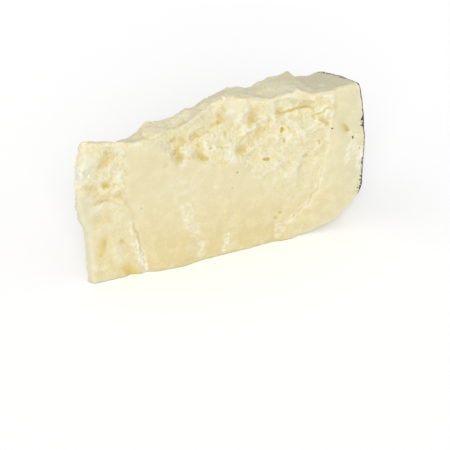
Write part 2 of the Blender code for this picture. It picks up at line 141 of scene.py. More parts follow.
def cell_numbers(cells: Array, salt: int) -> Array:
    """Numbers the cells of a grid.

    Args:
        cells: Whole-numbered cells, one row each.
        salt: Sets one series of numbers apart from another.

    Returns:
        Three repeatable numbers from 0 to 1 for each cell.
    """
    mixed = np.full(len(cells), salt * SALT_PRIME % 2**32, dtype=np.uint32)
    for axis, prime in enumerate(CELL_PRIMES):
        mixed ^= cells[:, axis].astype(np.int64).astype(np.uint32) * np.uint32(prime)
    numbers = []
    for _ in range(3):
        for shift, factor in MIXERS:
            mixed = (mixed ^ (mixed >> np.uint32(shift))) * np.uint32(factor)
        mixed = mixed ^ (mixed >> np.uint32(LAST_SHIFT))
        numbers.append(mixed / 2.0**32)
    return np.stack(numbers, axis=1)


def drift(points: Array, size: float, salt: int) -> Array:
    """Makes smooth noise.

    Args:
        points: Where it is read.
        size: About how wide its swells are.
        salt: Sets one pattern apart from another.

    Returns:
        Three numbers from -1 to 1 for each point.
    """
    grid = points / size
    corner = np.floor(grid)
    share = smooth_step(grid - corner, 0.0, 1.0)
    total = np.zeros_like(points)
    for step in itertools.product((0, 1), repeat=3):
        weight = np.where(np.array(step) == 1, share, 1.0 - share).prod(axis=1)
        total += weight[:, None] * cell_numbers(corner + step, salt)
    return 2.0 * total - 1.0


def near_cells(grid: Array) -> Iterator[Array]:
    """Steps through the cells that can hold what is nearest to each point: its own and the 26 round it.

    Args:
        grid: The points, in cells of the grid.

    Returns:
        For each of the 27 steps, one cell for every point.
    """
    home = np.floor(grid)
    for step in itertools.product((-1, 0, 1), repeat=3):
        yield home + step


@dataclass(frozen=True)
class Breaks:
    """A surface broken into leaning faces of one size."""

    size: float
    reach: float  # how far they stand in and out
    salt: int
    sharpness: float
    lean: float = 1.6  # how much of a face's depth comes from its lean
    step: float = 1.4  # and how much from its own level
    mean: float = 0.35  # the faces lie this much deeper than the cut, as a share of their reach

    def depth(self, points: Array) -> Array:
        """Works out how deep the broken faces lie.

        Args:
            points: Where it is read, in metres.

        Returns:
            The depth at each point, in metres.
        """
        grid = points / (self.size * MM)
        total = np.zeros(len(points))
        weights = np.zeros(len(points))
        for cell in near_cells(grid):
            offset = grid - cell - cell_numbers(cell, self.salt)
            weight = np.exp(-self.sharpness * (offset**2).sum(axis=1))
            own = cell_numbers(cell, self.salt + 1) - 0.5
            level = cell_numbers(cell, self.salt + 2)[:, 0] - 0.5
            total += weight * (self.lean * (offset * own).sum(axis=1) + self.step * level)
            weights += weight
        return self.reach * MM * (total / weights + self.mean)


@dataclass(frozen=True)
class Curds:
    """A surface knobbly with rounded curds, with narrow clefts between them."""

    size: float
    reach: float
    salt: int

    def depth(self, points: Array) -> Array:
        """Works out how far the surface lies below the curds' crowns.

        Args:
            points: Where it is read, in metres.

        Returns:
            The depth at each point, in metres.
        """
        grid = points / (self.size * MM)
        nearest = np.full(len(points), np.inf)
        for cell in near_cells(grid):
            away = ((grid - cell - cell_numbers(cell, self.salt)) ** 2).sum(axis=1)
            nearest = np.minimum(nearest, away)
        return self.reach * MM * np.minimum(nearest, 1.0)


@dataclass(frozen=True)
class Eyes:
    """Small round holes, strewn through the paste and opened where the surface meets them."""

    spacing: float
    radius: tuple[float, float]
    depth_share: float  # depth over radius
    chance: float
    salt: int
    side: tuple = (1.0, 0.35)  # their sides fall between these shares of the radius

    def depth(self, points: Array) -> Array:
        """Works out how deep the opened holes are.

        Args:
            points: Where it is read, in metres.

        Returns:
            The depth at each point, in metres.
        """
        grid = points / (self.spacing * MM)
        deepest = np.zeros(len(points))
        low, high = self.radius
        for cell in near_cells(grid):
            away = np.linalg.norm(grid - cell - cell_numbers(cell, self.salt), axis=1) * self.spacing
            picked = cell_numbers(cell, self.salt + 1)
            radius = low + (high - low) * picked[:, 0] ** 2
            bowl = smooth_step(away / radius, *self.side) * radius * self.depth_share
            deepest = np.maximum(deepest, np.where(picked[:, 1] < self.chance, bowl, 0.0))
        return deepest * MM


@dataclass(frozen=True)
class Patch:
    """A rounded region of the front, and how strongly something goes for it, from 0 to 1."""

    x: float
    z: float
    width: float
    height: float
    share: float

    def away(self, x: Array, z: Array) -> Array:
        """How far each place lies from the middle: 1 is on the rim."""
        return np.hypot((x - self.x) / self.width, (z - self.z) / self.height)


def from_piece(flat: Array, start: tuple, end: tuple) -> tuple[Array, Array, Array]:
    """Measures places against one straight piece of a line.

    Args:
        flat: The places' x and z, one row each.
        start: Where the piece starts.
        end: Where it ends, which may be the same place.

    Returns:
        How far along the piece the nearest place on it lies, from 0 to 1, the distance to it, and a
        number above 0 to the right of the piece and below 0 to the left.
    """
    run = np.subtract(end, start, dtype=float)
    offset = flat - start
    length = run @ run
    share = np.clip(offset @ run / length, 0.0, 1.0) if length else np.zeros(len(flat))
    gap = np.hypot(*(offset - share[:, None] * run).T)
    return share, gap, run[1] * offset[:, 0] - run[0] * offset[:, 1]


def from_line(points: tuple, x: Array, z: Array) -> tuple[Array, Array]:
    """Measures places against a line across the front.

    Args:
        points: The line's points, as x and z.
        x: Where the places are seen on the cut, from the axis.
        z: And above the base.

    Returns:
        The distance to the line, and 1 to the right of its direction or -1 to the left.
    """
    flat = np.stack((x, z), axis=1)
    nearest = np.full(len(x), np.inf)
    side = np.zeros(len(x))
    for start, end in zip(points, points[1:]):
        _, gap, turn = from_piece(flat, start, end)
        side = np.where(gap < nearest, np.sign(turn), side)
        nearest = np.minimum(nearest, gap)
    return nearest, side


@dataclass(frozen=True)
class Hollow:
    """A groove, dent or hump, as points of x, z, half width and depth, which is less than 0 for a hump."""

    points: tuple
    side: tuple = (1.15, 0.15)  # its sides fall between these shares of the half width

    def depth(self, x: Array, z: Array) -> Array:
        """Works out how deep the hollow is.

        Args:
            x: Where the places are seen on the cut, from the axis.
            z: And above the base.

        Returns:
            The depth at each place, in millimetres.
        """
        flat = np.stack((x, z), axis=1)
        deepest = np.zeros(len(x))
        for start, end in zip(self.points, self.points[1:] or self.points):
            share, gap, _ = from_piece(flat, start[:2], end[:2])
            width, depth = (start[axis] + share * (end[axis] - start[axis]) for axis in (2, 3))
            depth = depth * smooth_step(gap / width, *self.side)
            deepest = np.where(np.abs(depth) > np.abs(deepest), depth, deepest)
        return deepest


def marks(*rows: tuple) -> tuple[Hollow, ...]:
    """Hollows made from rows of points."""
    return tuple(Hollow(points) for points in rows)


@dataclass(frozen=True)
class Ledge:
    """A step along a line of the front: the side to the right of its direction lies deeper."""

    line: tuple
    drop: float
    fade: float  # over this distance the lower side comes back up to the cut
    edge: float = 1.8

    def depth(self, x: Array, z: Array) -> Array:
        """Works out how deep the step leaves each place.

        Args:
            x: Where the places are seen on the cut, from the axis.
            z: And above the base.

        Returns:
            The depth at each place, in millimetres.
        """
        gap, side = from_line(self.line, x, z)
        signed = gap * side
        step = self.drop * smooth_step(signed, -self.edge / 2, self.edge)
        return step * smooth_step(signed, self.fade, self.edge)


@dataclass(frozen=True)
class Scuff:
    """A streak where the paste has crumbled dry and white, along a line of the front."""

    line: tuple
    width: float
    share: float
    side: tuple = (1.0, 0.15)  # it fades between these shares of the width

    def strength(self, x: Array, z: Array) -> Array:
        """How crumbly each place is, from 0 to 1."""
        gap, _ = from_line(self.line, x, z)
        return self.share * smooth_step(gap / self.width, *self.side)


@dataclass(frozen=True)
class Wheel:
    """The whole cheese that the chunk was broken from."""

    radius: float = 160.0
    fullest: float = 46.0  # where the rind bulges most
    heel_curve: float = 150.0
    corner_reach: float = 42.0
    corner_rise: float = 27.0
    height: float = 84.0
    skirt: float = 6.0  # the block starts this far below the base
    turn_steps: int = 60
    corner_steps: int = 10
    heel_steps: int = 8

    def profile(self) -> list[tuple[float, float]]:
        """Draws the outline from the axis out below the base, up the rind and back.

        Returns:
            Pairs of distance from the axis and height, in millimetres.
        """
        straight = self.radius - self.corner_reach
        outline = [(0.0, -self.skirt), (straight, -self.skirt)]
        for step in range(self.corner_steps + 1):
            turn = 0.5 * math.pi * step / self.corner_steps
            reach = straight + self.corner_reach * math.sin(turn)
            outline.append((reach, self.corner_rise * (1.0 - math.cos(turn))))
        for step in range(1, self.heel_steps + 1):
            height = self.corner_rise + (self.height - self.corner_rise) * step / self.heel_steps
            above = max(height - self.fullest, 0.0)
            outline.append((self.radius - above**2 / (2.0 * self.heel_curve), height))
        outline.append((0.0, self.height))
        return outline

    def beneath(self, points: Array) -> Array:
        """Measures how far points lie below the wheel's outer side.

        Args:
            points: The points, in metres.

        Returns:
            The depth of each point, in millimetres.
        """
        x, y, z = points.T / MM
        low = np.clip(1.0 - z / self.corner_rise, 0.0, 1.0)
        above = np.maximum(z - self.fullest, 0.0)
        corner = self.corner_reach * (1.0 - np.sqrt(1.0 - low**2))
        return self.radius - corner - above**2 / (2.0 * self.heel_curve) - np.hypot(x, y)


def seen_on_cut(points: Array) -> tuple[Array, Array]:
    """Where each point shows on the plane of the front cut, as x and z in millimetres."""
    x, y, z = points.T / MM
    return x + SEEN_ASIDE * y, z + SEEN_ABOVE * y


@dataclass(frozen=True)
class Form:
    """The chunk's outline, its broken regions and the features of its front."""

    cuts_meet: float = 30.0  # how far beyond the axis the planes of the two cuts meet
    cut_angle: float = math.radians(13.55)
    tip_reach: float = -5.4  # where the tip is broken off, from the axis
    tip_turn: float = math.radians(30.0)  # and how far that break is turned from square
    deepest: float = 0.5  # the front lies no deeper than this share of the chunk's thickness
    break_deepest: float = 0.18  # and its broken faces lie no deeper below it than this share
    warp_size: float = 9.0  # a bend of all the patterns, so that nothing runs straight
    warp_reach: float = 2.6
    warp_salt: int = 5
    base_hold: float = 3.0  # nothing is broken at the base, and all of it is this far above
    breaks: tuple = (Breaks(15, 2.4, 11, 18), Breaks(6.5, 1.3, 23, 16))
    # Knots of height, and how far the tip's face stands in there
    tip_line: tuple = (
        (-6, 7), (1, 7), (10, 7), (20, 6.8), (30, 6), (40, 3), (48, 1),
        (62, 2), (75, 4), (80, 5.5), (84, 6),
    )
    tip_shaped: float = 30.0  # the block is untouched by that from this x on
    # Knots of x, and how high the top's front and back edges lie there
    top_front: tuple = (
        (-5, 83), (9, 80.3), (22, 79.2), (30, 78.6), (38, 77), (47, 78.2), (56, 81.6),
        (67, 86), (73, 88), (83, 88.5), (90, 88.5), (96, 86), (103, 84), (112, 84.5),
        (123, 86.3), (131, 84), (152, 86.5),
    )
    top_back: tuple = (
        (-5, 80.5), (8, 77.5), (16, 74.8), (28, 75.5), (32, 78), (37, 81.8), (50, 81),
        (58, 79.8), (66, 80.4), (77, 85), (84, 86.5), (95, 85.5), (106, 83), (116, 85.5),
        (128, 85.5), (135, 79), (146, 76.5), (151, 79.2), (155, 79.8),
    )
    top_shaped: tuple = (50, 82)  # the top's shape comes in between these heights
    # Knots of x, and how far the broken upper part of the front is set back
    set_back: tuple = (
        (40, 0), (50, 2.5), (62, 6.5), (71, 12), (81, 12.5), (92, 9),
        (100, 6), (112, 8), (124, 8), (130, 3), (138, 1), (150, 1),
    )
    set_back_rise: tuple = (58, 84)
    # Knots of x, and how far the front's foot swells out
    foot_swell: tuple = ((22, 0), (31, 1), (39, 2.8), (52, 2.8), (62, 0.6), (84, 0))
    foot_rise: tuple = (34, 3)
    # Knots of x, and the height above which the back is broken
    back_broken: tuple = ((0, 58), (22, 70), (52, 60), (78, 69), (108, 57), (132, 63), (152, 76))
    back_band: float = 9.0  # the break comes in over this height
    # Regions where the surface is broken: 1 is fully, 0 is smoothly cut
    patches: tuple = (
        Patch(90, 78, 49, 24, 1),
        Patch(112, 57, 26, 18, 0.65),
        Patch(118, 40, 20, 16, 0.3),
        Patch(5, 65, 18, 20, 0.9),
        Patch(10, 24, 17, 26, 0.30),
        Patch(135, 14, 26, 16, 0.16),
    )
    patch_edge: float = 0.35
    # And regions where it is less broken
    calms: tuple = (
        Patch(82, 86, 13, 11, 0.6),
        Patch(60, 84, 12, 8, 0.5),
        Patch(122, 87, 22, 5.5, 0.8),
        Patch(4, 73, 8, 6, 0.6),
        Patch(2, 60, 6, 5, 0.6),
    )
    calm_edge: tuple = (1, 0.6)
    # Hollows that take less painted shade than the others
    pale_hollows: tuple = (
        Patch(97, 84, 9, 9, 0.6),
        Patch(92, 65, 8, 9, 0.35),
        Patch(52, 75, 6, 5, 0.3),
    )
    pale_edge: tuple = (1, 0.5)
    hollow_fade: tuple = (0.75, 0.5)  # towards the back cut, as shares of the thickness
    # Knots of x, and how broken the top is
    top_broken: tuple = ((-6, 0.3), (20, 0.4), (30, 0.8), (84, 0.8), (96, 0.6), (126, 0.45), (138, 0.15))
    tip_share: tuple = (0.12, 0.55)  # how broken the tip is below and above
    tip_rise: tuple = (38, 48)  # the heights between which that changes
    tip_band: tuple = (9, 3)  # the x between which the tip's own share comes in
    back_share: float = 0.7
    rind_share: float = 0.1  # how much of the breaking the rind keeps
    rind_reach: tuple = (149, 152)  # how far from the axis the rind's calm comes in
    rind_rise: tuple = (16, 24)  # and between which heights
    # How far the surface faces each way where the front's, top's and back's shares come in
    front_facing: tuple = (0.15, 0.65)
    top_facing: tuple = (0.2, 0.6)
    back_facing: tuple = (0.3, 0.8)
    bend_size: float = 4.5  # a bend of the front's features
    bend_reach: float = 1.3
    bend_salt: int = 7
    fray_size: float = 1.9  # a finer bend, which the solid leaves out
    fray_reach: float = 0.55
    fray_salt: int = 9
    # The larger grooves, dents and humps of the front
    hollows: tuple = marks(
        ((48.5, 75.5, 4.6, 1.5), (52, 73.5, 4.4, 1.8), (50.4, 67, 3.6, 1.8), (50, 62, 2.4, 1.3)),
        ((61.8, 69, 2.5, 1.6), (63, 64, 2.8, 2.2), (64.1, 59.5, 2.9, 2)),
        ((55.6, 71.5, 2.8, 1.2), (61, 73.5, 3.2, 1.6), (66.2, 75.9, 3, 1.4)),
        ((74, 87, 2.4, 1.4), (72.8, 80.5, 3.2, 2.6), (68.8, 77.3, 2.6, 1.4)),
        ((76.1, 72, 2.8, 1.4), (80.5, 78, 2.8, 1.2)),
        ((81, 85, 9, -1.6), (86, 80, 8, -1.8)),
        ((97.5, 86.5, 6, 1.8), (95, 82, 6.5, 2.8), (90.6, 75.5, 4.4, 3)),
        ((85.4, 59.5, 3.4, 2.8), (91, 64.2, 3.6, 2.4), (101.5, 73.5, 4, 1.4)),
        ((99.4, 52.4, 1.8, 1.2), (100.8, 52.5, 1.8, 1.2)),
        ((93, 52, 5, 0.8),),
        ((107.3, 78, 2.4, 1.4), (113.1, 78.8, 2.4, 1.6), (122, 79.6, 2.2, 1.4), (126.5, 77.5, 2.2, 1.2)),
        ((109, 72, 2.2, 1), (109.6, 68.4, 2.8, 2.2)),
        ((127.5, 72.6, 2.4, 0.7), (131, 70.6, 2.6, 0.8), (135.6, 66.2, 2.6, 0.9)),
        ((145, 64.5, 2.6, 1.2), (147.6, 60.5, 3, 1.6)),
        ((13, 74.5, 4.6, 0.7), (10.8, 69.8, 5.6, 1.1)),
        ((11.1, 57.2, 2.6, 2.4), (11.2, 55.6, 2.4, 2.4)),
        ((-2.6, 60.5, 2.6, 1.2), (1.5, 56.8, 2.8, 1.6), (6, 55.8, 2.6, 1.2)),
        ((2.5, 52.5, 3.4, 1.2), (6.5, 53, 3, 1.2)),
        ((3, 46.6, 2.6, 1), (7, 47.3, 2.4, 1.4), (12, 48, 2.6, 1.6), (18, 49.3, 2.8, 1.6)),
        ((0, 67.1, 3.2, 0.8), (2.5, 67, 2.8, 0.8)),
        ((-1, 63.5, 8, -1.6),),
        ((4, 76.5, 7, -1),),
        ((17.8, 62.5, 3.6, -1.4), (18, 58.5, 3.4, -1.4)),
        ((3.8, 38, 4, 0.9), (11, 36, 4.4, 0.7)),
        ((5.6, 24.5, 4.4, 1.3), (6.8, 17, 4.2, 1.3)),
        ((17.7, 21.7, 2.6, 1),),
        ((20, 5, 3.6, 1.2), (21.5, 0, 4.2, 1.8)),
        ((109.5, 44, 5, 0.8),),
        ((121, 38.5, 4.4, 0.8), (121.5, 32, 4, 0.7)),
    )
    # Steps of the front, each with its drop and the distance over which it fades
    ledges: tuple = (
        Ledge(
            ((136, 53), (134.5, 38), (131, 27.5), (128, 21.9), (118, 13.7), (113, 10.7), (108, 0)), 1.3, 22
        ),
        Ledge(((27, 0), (27, 12), (25, 26), (21, 42)), 1.2, 30),
        Ledge(((139, 66), (139.5, 88)), 1.2, 16),
    )

    def thickness(self, x: Array) -> Array:
        """Thickness of the wedge between its two knife cuts, in millimetres as x is."""
        return (x + self.cuts_meet) * math.tan(self.cut_angle)

    def warp(self, points: Array) -> Array:
        """How far the patterns are bent at each point, in metres."""
        return self.warp_reach * MM * drift(points, self.warp_size * MM, self.warp_salt)

    def crag_share(self, points: Array, normals: Array) -> Array:
        """Says how broken the surface is.

        Args:
            points: Its points, in metres.
            normals: Which way the surface faces there.

        Returns:
            The share at each point: 1 for crags, 0 for a knife cut.
        """
        x, y, z = points.T / MM
        seen = seen_on_cut(points)
        share = np.zeros(len(points))
        front = smooth_step(-normals[:, 1], *self.front_facing)
        for patch in self.patches:
            inside = smooth_step(patch.away(*seen), 1.0 + self.patch_edge / 2, 1.0 - self.patch_edge / 2)
            share = np.maximum(share, patch.share * inside * front)
        for calm in self.calms:
            share *= 1.0 - calm.share * smooth_step(calm.away(*seen), *self.calm_edge)
        top = eased_line(x, self.top_broken) * smooth_step(normals[:, 2], *self.top_facing)
        low, high = self.tip_share
        tip = (low + (high - low) * smooth_step(z, *self.tip_rise)) * smooth_step(x, *self.tip_band)
        above = z - eased_line(x, self.back_broken)
        back = smooth_step(above, 0.0, self.back_band) * smooth_step(normals[:, 1], *self.back_facing)
        share = np.maximum.reduce((share, top, tip, self.back_share * back))
        rind = smooth_step(np.hypot(x, y), *self.rind_reach) * smooth_step(z, *self.rind_rise)
        return share * (1.0 - (1.0 - self.rind_share) * rind)

    def bend(self, places: Array) -> Array:
        """Where the hollows and ledges are read for each place of the front, in millimetres."""
        bent = places + self.bend_reach * drift(places, self.bend_size, self.bend_salt)
        return bent + self.fray_reach * drift(places, self.fray_size, self.fray_salt)

    def front_depth(self, x: Array, z: Array) -> Array:
        """Works out how far the front lies behind the plane of the cut.

        Args:
            x: The places along the cut, in millimetres.
            z: And their heights.

        Returns:
            The depth at each place, in millimetres.
        """
        places = np.stack((x, np.zeros_like(x), z), axis=1)
        broad_x, _, broad_z = (places + self.warp(places * MM) / MM).T
        back = eased_line(broad_x, self.set_back) * smooth_step(broad_z, *self.set_back_rise)
        swell = eased_line(broad_x, self.foot_swell) * smooth_step(broad_z, *self.foot_rise)
        x, _, z = self.bend(places).T
        seen = (x + SEEN_ASIDE * back, z + SEEN_ABOVE * back)
        features = sum(feature.depth(*seen) for feature in self.hollows + self.ledges)
        return back + features - swell

    def hollow_share(self, points: Array) -> Array:
        """Says how deep in a hollow of the front each point lies.

        Args:
            points: The points, in metres.

        Returns:
            The depth at each point, in millimetres, less in the paler hollows.
        """
        x, y, z = points.T / MM
        flat = np.stack((x + SEEN_ASIDE * y, np.zeros_like(x), z + SEEN_ABOVE * y), axis=1)
        x, _, z = self.bend(flat).T
        deepest = np.maximum.reduce([hollow.depth(x, z) for hollow in self.hollows])
        for pale in self.pale_hollows:
            deepest = deepest * (1.0 - pale.share * smooth_step(pale.away(x, z), *self.pale_edge))
        return deepest * smooth_step(y / self.thickness(x), *self.hollow_fade)

    def top_height(self, points: Array) -> Array:
        """Works out how high the unbroken top lies.

        Args:
            points: The points, in metres.

        Returns:
            The top's height at each point, in millimetres.
        """
        x, y, _ = points.T / MM
        behind = np.clip(y / self.thickness(x), 0.0, 1.0)
        return (1.0 - behind) * eased_line(x, self.top_front) + behind * eased_line(x, self.top_back)

    def shape_block(self, points: Array, height: float) -> Array:
        """Sets the front back where it is broken and gives the block its uneven top and tip.

        Args:
            points: The block's points, in metres.
            height: The block's height, in millimetres.

        Returns:
            The moved points.
        """
        x, y, z = points.T / MM
        aside = eased_line(z, self.tip_line) * smooth_step(x, self.tip_shaped, self.tip_reach)
        thickness = self.thickness(x)
        behind = np.clip(y / thickness, 0.0, 1.0)
        deepest = self.deepest * thickness
        back = (1.0 - behind) * deepest * np.tanh(self.front_depth(x, z) / deepest)
        rise = (self.top_height(points) - height) * smooth_step(z, *self.top_shaped)
        return points + np.stack((aside, back, rise), axis=1) * MM

    def break_depth(self, points: Array, normals: Array) -> Array:
        """Works out how far the broken faces lie below the surface.

        Args:
            points: The surface's points, in metres.
            normals: Which way the surface faces there.

        Returns:
            The depth at each point, in metres.
        """
        bent = points + self.warp(points)
        depth = sum(breaks.depth(bent) for breaks in self.breaks)
        deepest = self.break_deepest * self.thickness(points[:, 0] / MM) * MM
        deepest = deepest / np.maximum(np.abs(normals[:, 1]), self.break_deepest)
        depth = deepest * np.tanh(depth * self.crag_share(bent, normals) / deepest)
        return depth * smooth_step(points[:, 2], 0.0, self.base_hold * MM)


@dataclass(frozen=True)
class FineForm:
    """The small relief that the block's form leaves out: faces, curds, eyes, cracks and scuffs."""

    breaks: tuple = (Breaks(3.4, 0.34, 37, 20), Breaks(1.7, 0.16, 41, 20))
    curds: Curds = Curds(2.3, 0.28, 53)
    eyes: Eyes = Eyes(6, (0.5, 1.1), 0.8, 0.14, 61)
    cut_eyes: Eyes = Eyes(9, (0.35, 0.7), 0.8, 0.10, 67)
    ridge_breaks: Breaks = Breaks(4.2, 0.55, 43, 12)  # the top's edges crumble in these
    ridge_rise: tuple = (60, 72)  # above this height, and where the surface stands out this far
    ridge_bulge: tuple = (0.12, 0.5)
    wave_size: float = 11.0  # a slow swell of the whole surface
    wave_reach: float = 0.22
    wave_salt: int = 71
    patchy_size: float = 10.0  # the patches in which curds show
    patchy_salt: int = 73
    patchy_rise: tuple = (-0.5, 0.4)
    curd_shares: tuple = (0.45, 0.55)  # how much of the curds is everywhere, and how much in patches
    eye_crag: tuple = (0.25, 0.8)  # holes open where the surface is this broken
    crack_facing: tuple = (0.1, 0.5)
    lump_facing: tuple = (0.3, 0.7)
    backward: tuple = (0.5, 0)  # the front's marks end where the surface turns to the back
    scuff_depth: tuple = (14, 9)  # and the streaks this far behind the cut
    scuff_roughness: float = 0.8  # against crags at 1
    warp_size: float = 3.0  # a bend of the small features, so that their edges are uneven
    warp_reach: float = 0.9
    warp_salt: int = 79
    base_hold: float = 1.5
    rind_pits: Eyes = Eyes(4, (0.4, 1.1), 0.45, 0.6, 83)
    rind_wave_size: float = 6.0
    rind_wave_reach: float = 0.3
    # Cracks and small holes of the front
    cracks: tuple = marks(
        ((107.3, 78.2, 1.2, 0.4), (113.1, 79, 1.2, 0.6), (122, 79.8, 1.2, 0.7), (126.5, 77.8, 1.1, 0.5)),
        ((136.7, 76.6, 1.1, 0.8), (133.8, 74, 1.2, 0.9), (126.9, 72.4, 1.1, 0.8)),
        ((127.9, 72.4, 1, 0.6), (131, 70.6, 1.1, 0.7), (135.6, 66.2, 1.3, 1)),
        ((109.5, 69.6, 1.5, 1.3), (109.6, 67.6, 1.6, 1.6)),
        ((131.2, 57.4, 1.2, 1), (131.2, 55.8, 1.2, 1)),
        ((109.5, 61.8, 1.1, 0.8), (109.5, 60.8, 1.1, 0.8)),
        ((99.5, 52.5, 1.1, 1.1), (100.8, 52.4, 1.1, 1.1)),
        ((138.6, 63, 0.7, 0.9),),
        ((83.3, 47.6, 0.8, 0.4),),
        ((81.2, 39.2, 0.8, 0.3),),
        ((29.4, 39, 0.8, 0.3),),
        ((42.4, 60.5, 1.2, 0.4), (43.8, 61.3, 1.2, 0.4)),
        ((72.9, 80.2, 1.5, 1.2),),
        ((68.4, 66, 1.4, 1.4),),
        ((71, 71.8, 1.2, 0.9),),
        ((122.6, 50.1, 1.5, 0.9), (124, 50.1, 1.5, 0.9)),
        ((146.5, 63, 1.2, 0.6), (147.8, 60.6, 1.4, 0.9)),
        ((7, 47, 1.2, 0.5), (10.5, 48.2, 1.2, 0.7), (14, 47, 1.1, 0.5), (18.7, 42.3, 0.9, 0.5)),
        ((11.1, 56.4, 1.6, 0.5),),
        ((25.2, 31, 0.9, 0.7), (27.5, 20, 1, 0.7), (29.4, 11.6, 1, 0.7), (30.2, 3.6, 1, 0.7)),
        ((17.7, 21.9, 1.2, 0.4),),
        ((108.4, 18.8, 0.9, 0.6), (109, 18.4, 0.9, 0.6)),
        ((105.8, 15.7, 0.9, 0.6), (106.2, 15.3, 0.9, 0.6)),
        ((134, 38, 0.8, 0.5), (130.4, 27, 0.8, 0.6), (127, 21.4, 0.8, 0.6), (117.8, 13.9, 0.8, 0.5)),
    )
    # Lumps of the top, as points of x, y, half width and depth
    lumps: tuple = marks(
        ((117.6, 17.5, 3.2, -0.5), (120.6, 14, 3.6, -0.6), (122, 9.5, 3, -0.5)),
        ((112, 11.3, 2.6, -0.4), (115.8, 10, 2.8, -0.5)),
        ((140.2, 16.5, 2.8, -0.45), (138.4, 13, 3.4, -0.45)),
        ((136.8, 9.4, 2.8, -0.35), (134, 8.6, 2.2, -0.35)),
        ((129.3, 11.7, 2.6, -0.4),),
        ((128, 19.2, 2.8, -0.4), (128.6, 15.3, 2.4, -0.4)),
    )
    # Where the paste is paler, where painted shade makes it darker and yellower, and where it is dark, with
    # strengths in place of depths
    pale: tuple = marks(
        ((3, 72, 6, 0.9), (0, 62, 6, 0.9)),
        ((4, 44, 4, 0.5),),
        ((80.5, 85, 8.5, 0.55), (87.5, 80, 8, 0.55), (90, 73.5, 5, 0.4)),
        ((49, 50, 12, 0.4), (54, 44, 12, 0.4)),
        ((107, 84, 5, 0.5), (118, 85, 5, 0.6)),
    )
    # Painted shade in holes, cracks and hollows, in the notch at the foot, along the lower right ledge and
    # along the top edge of the front
    painted_shades: tuple = marks(
        ((9.5, 27, 2.6, 0.6), (7.6, 21.8, 3.4, 1), (5.8, 17, 2.6, 0.7)),
        ((18, 5.6, 2.6, 0.9), (21, 2.6, 3.8, 1.1), (25, 0, 3.4, 1)),
        ((17.7, 21.7, 2.2, 0.8),),
        ((42.4, 60.5, 1.4, 0.5), (43.8, 61.3, 1.4, 0.5)),
        ((134.6, 41, 1.2, 0.3), (131, 27.8, 1.4, 0.5), (127.6, 22.2, 1.4, 0.5), (118.2, 14.2, 1.2, 0.4)),
        ((24, 79.8, 2.6, 0.35), (33, 79.2, 3, 0.5), (38, 78.5, 2.6, 0.4)),
        ((13, 73.5, 3.2, 0.6), (11.4, 69.8, 3.8, 0.9)),
        ((50.2, 69.5, 2.6, 0.7), (50, 64, 2.4, 0.9)),
        ((62.8, 66, 2, 0.6), (63.8, 61, 2.2, 1.2)),
        ((38, 78.6, 2.8, 0.4), (45, 80, 3, 0.55), (52, 82.5, 3, 0.5), (58, 87, 2.6, 0.3)),
        ((53.1, 17.5, 3.4, 0.4), (60, 9, 4, 0.4)),
        ((11.1, 56.8, 2.2, 1.3),),
        ((98.8, 52.5, 1.2, 1.5), (101.2, 52.4, 1.2, 1.5)),
        ((108.4, 18.8, 1.1, 1.4), (109, 18.4, 1.1, 1.4)),
        ((105.8, 15.7, 1.2, 1.4), (106.2, 15.3, 1.2, 1.4)),
        ((109.5, 69.4, 1.8, 1.2), (109.6, 67.4, 1.6, 1.2)),
        ((109.5, 61.8, 1.3, 0.7), (109.5, 60.8, 1.3, 0.7)),
        ((131.2, 57.4, 1.4, 0.8), (131.2, 55.8, 1.4, 0.8)),
        ((107, 78.2, 1.2, 0.5), (113.1, 79, 1.2, 0.9), (122, 79.8, 1.2, 0.7), (127, 77.4, 1.2, 0.5)),
    )
    specks: tuple = marks(
        ((156, 48, 0.6, 0.8),),
        ((83.3, 47.6, 0.6, 0.8),),
        ((81.2, 39.2, 0.7, 0.6),),
        ((138.6, 63, 0.6, 0.9),),
        ((151.9, 55.5, 0.8, 1),),
        ((29.4, 39, 0.6, 0.5),),
    )
    # Dry white streaks, each with its width and strength
    scuffs: tuple = (
        Scuff(((25, 19), (27.5, 12), (29, 6), (30.5, 1)), 4.2, 1),
        Scuff(((23.6, 32), (23.8, 25.5)), 1.8, 0.8),
        Scuff(((19, 55), (21.4, 52.5), (21.8, 50.5)), 1.5, 0.8),
        Scuff(((17.6, 63), (18, 58.5)), 2.6, 0.6),
        Scuff(((6, 50), (10, 49.5)), 2, 0.4),
        Scuff(((147, 48), (151, 51.5), (154, 55)), 3.2, 0.7),
        Scuff(((148.5, 43), (153, 49)), 5, 0.7),
        Scuff(((152.5, 52), (157, 45), (156.5, 37)), 4.6, 0.9),
        Scuff(((134, 43), (132.6, 33), (129.5, 25.5)), 2.4, 0.6),
        Scuff(((126, 21), (115, 13), (107.5, 4)), 4, 0.55),
        Scuff(((139.9, 77), (138.2, 69)), 1.3, 0.6),
        Scuff(((54, 33.5), (55.5, 26.5), (59, 18.5)), 7.5, 0.62),
        Scuff(((59, 18.5), (62, 9.5), (62.6, 4)), 4.6, 0.62),
        Scuff(((50, 49), (54, 44)), 12, 0.22),
        Scuff(((76.8, 12), (76.4, 3)), 3, 1),
        Scuff(((70.8, 42.2), (71.2, 41.6)), 1.8, 0.5),
        Scuff(((76.4, 33.6), (77, 33.2)), 1.5, 0.4),
        Scuff(((72.4, 28.6), (73, 26.6)), 1.5, 0.5),
        Scuff(((95.2, 26.3), (95.8, 25.9)), 1.8, 0.4),
        Scuff(((87, 6), (91.4, 8.4)), 3.4, 0.4),
        Scuff(((108.5, 12), (106.7, 4.4)), 4.4, 0.55),
        Scuff(((137, 28), (131, 20)), 3.4, 0.35),
    )

    def bent(self, points: Array) -> Array:
        """Where the small features are read for each point, in metres, so that their edges are uneven."""
        return points + self.warp_reach * MM * drift(points, self.warp_size * MM, self.warp_salt)

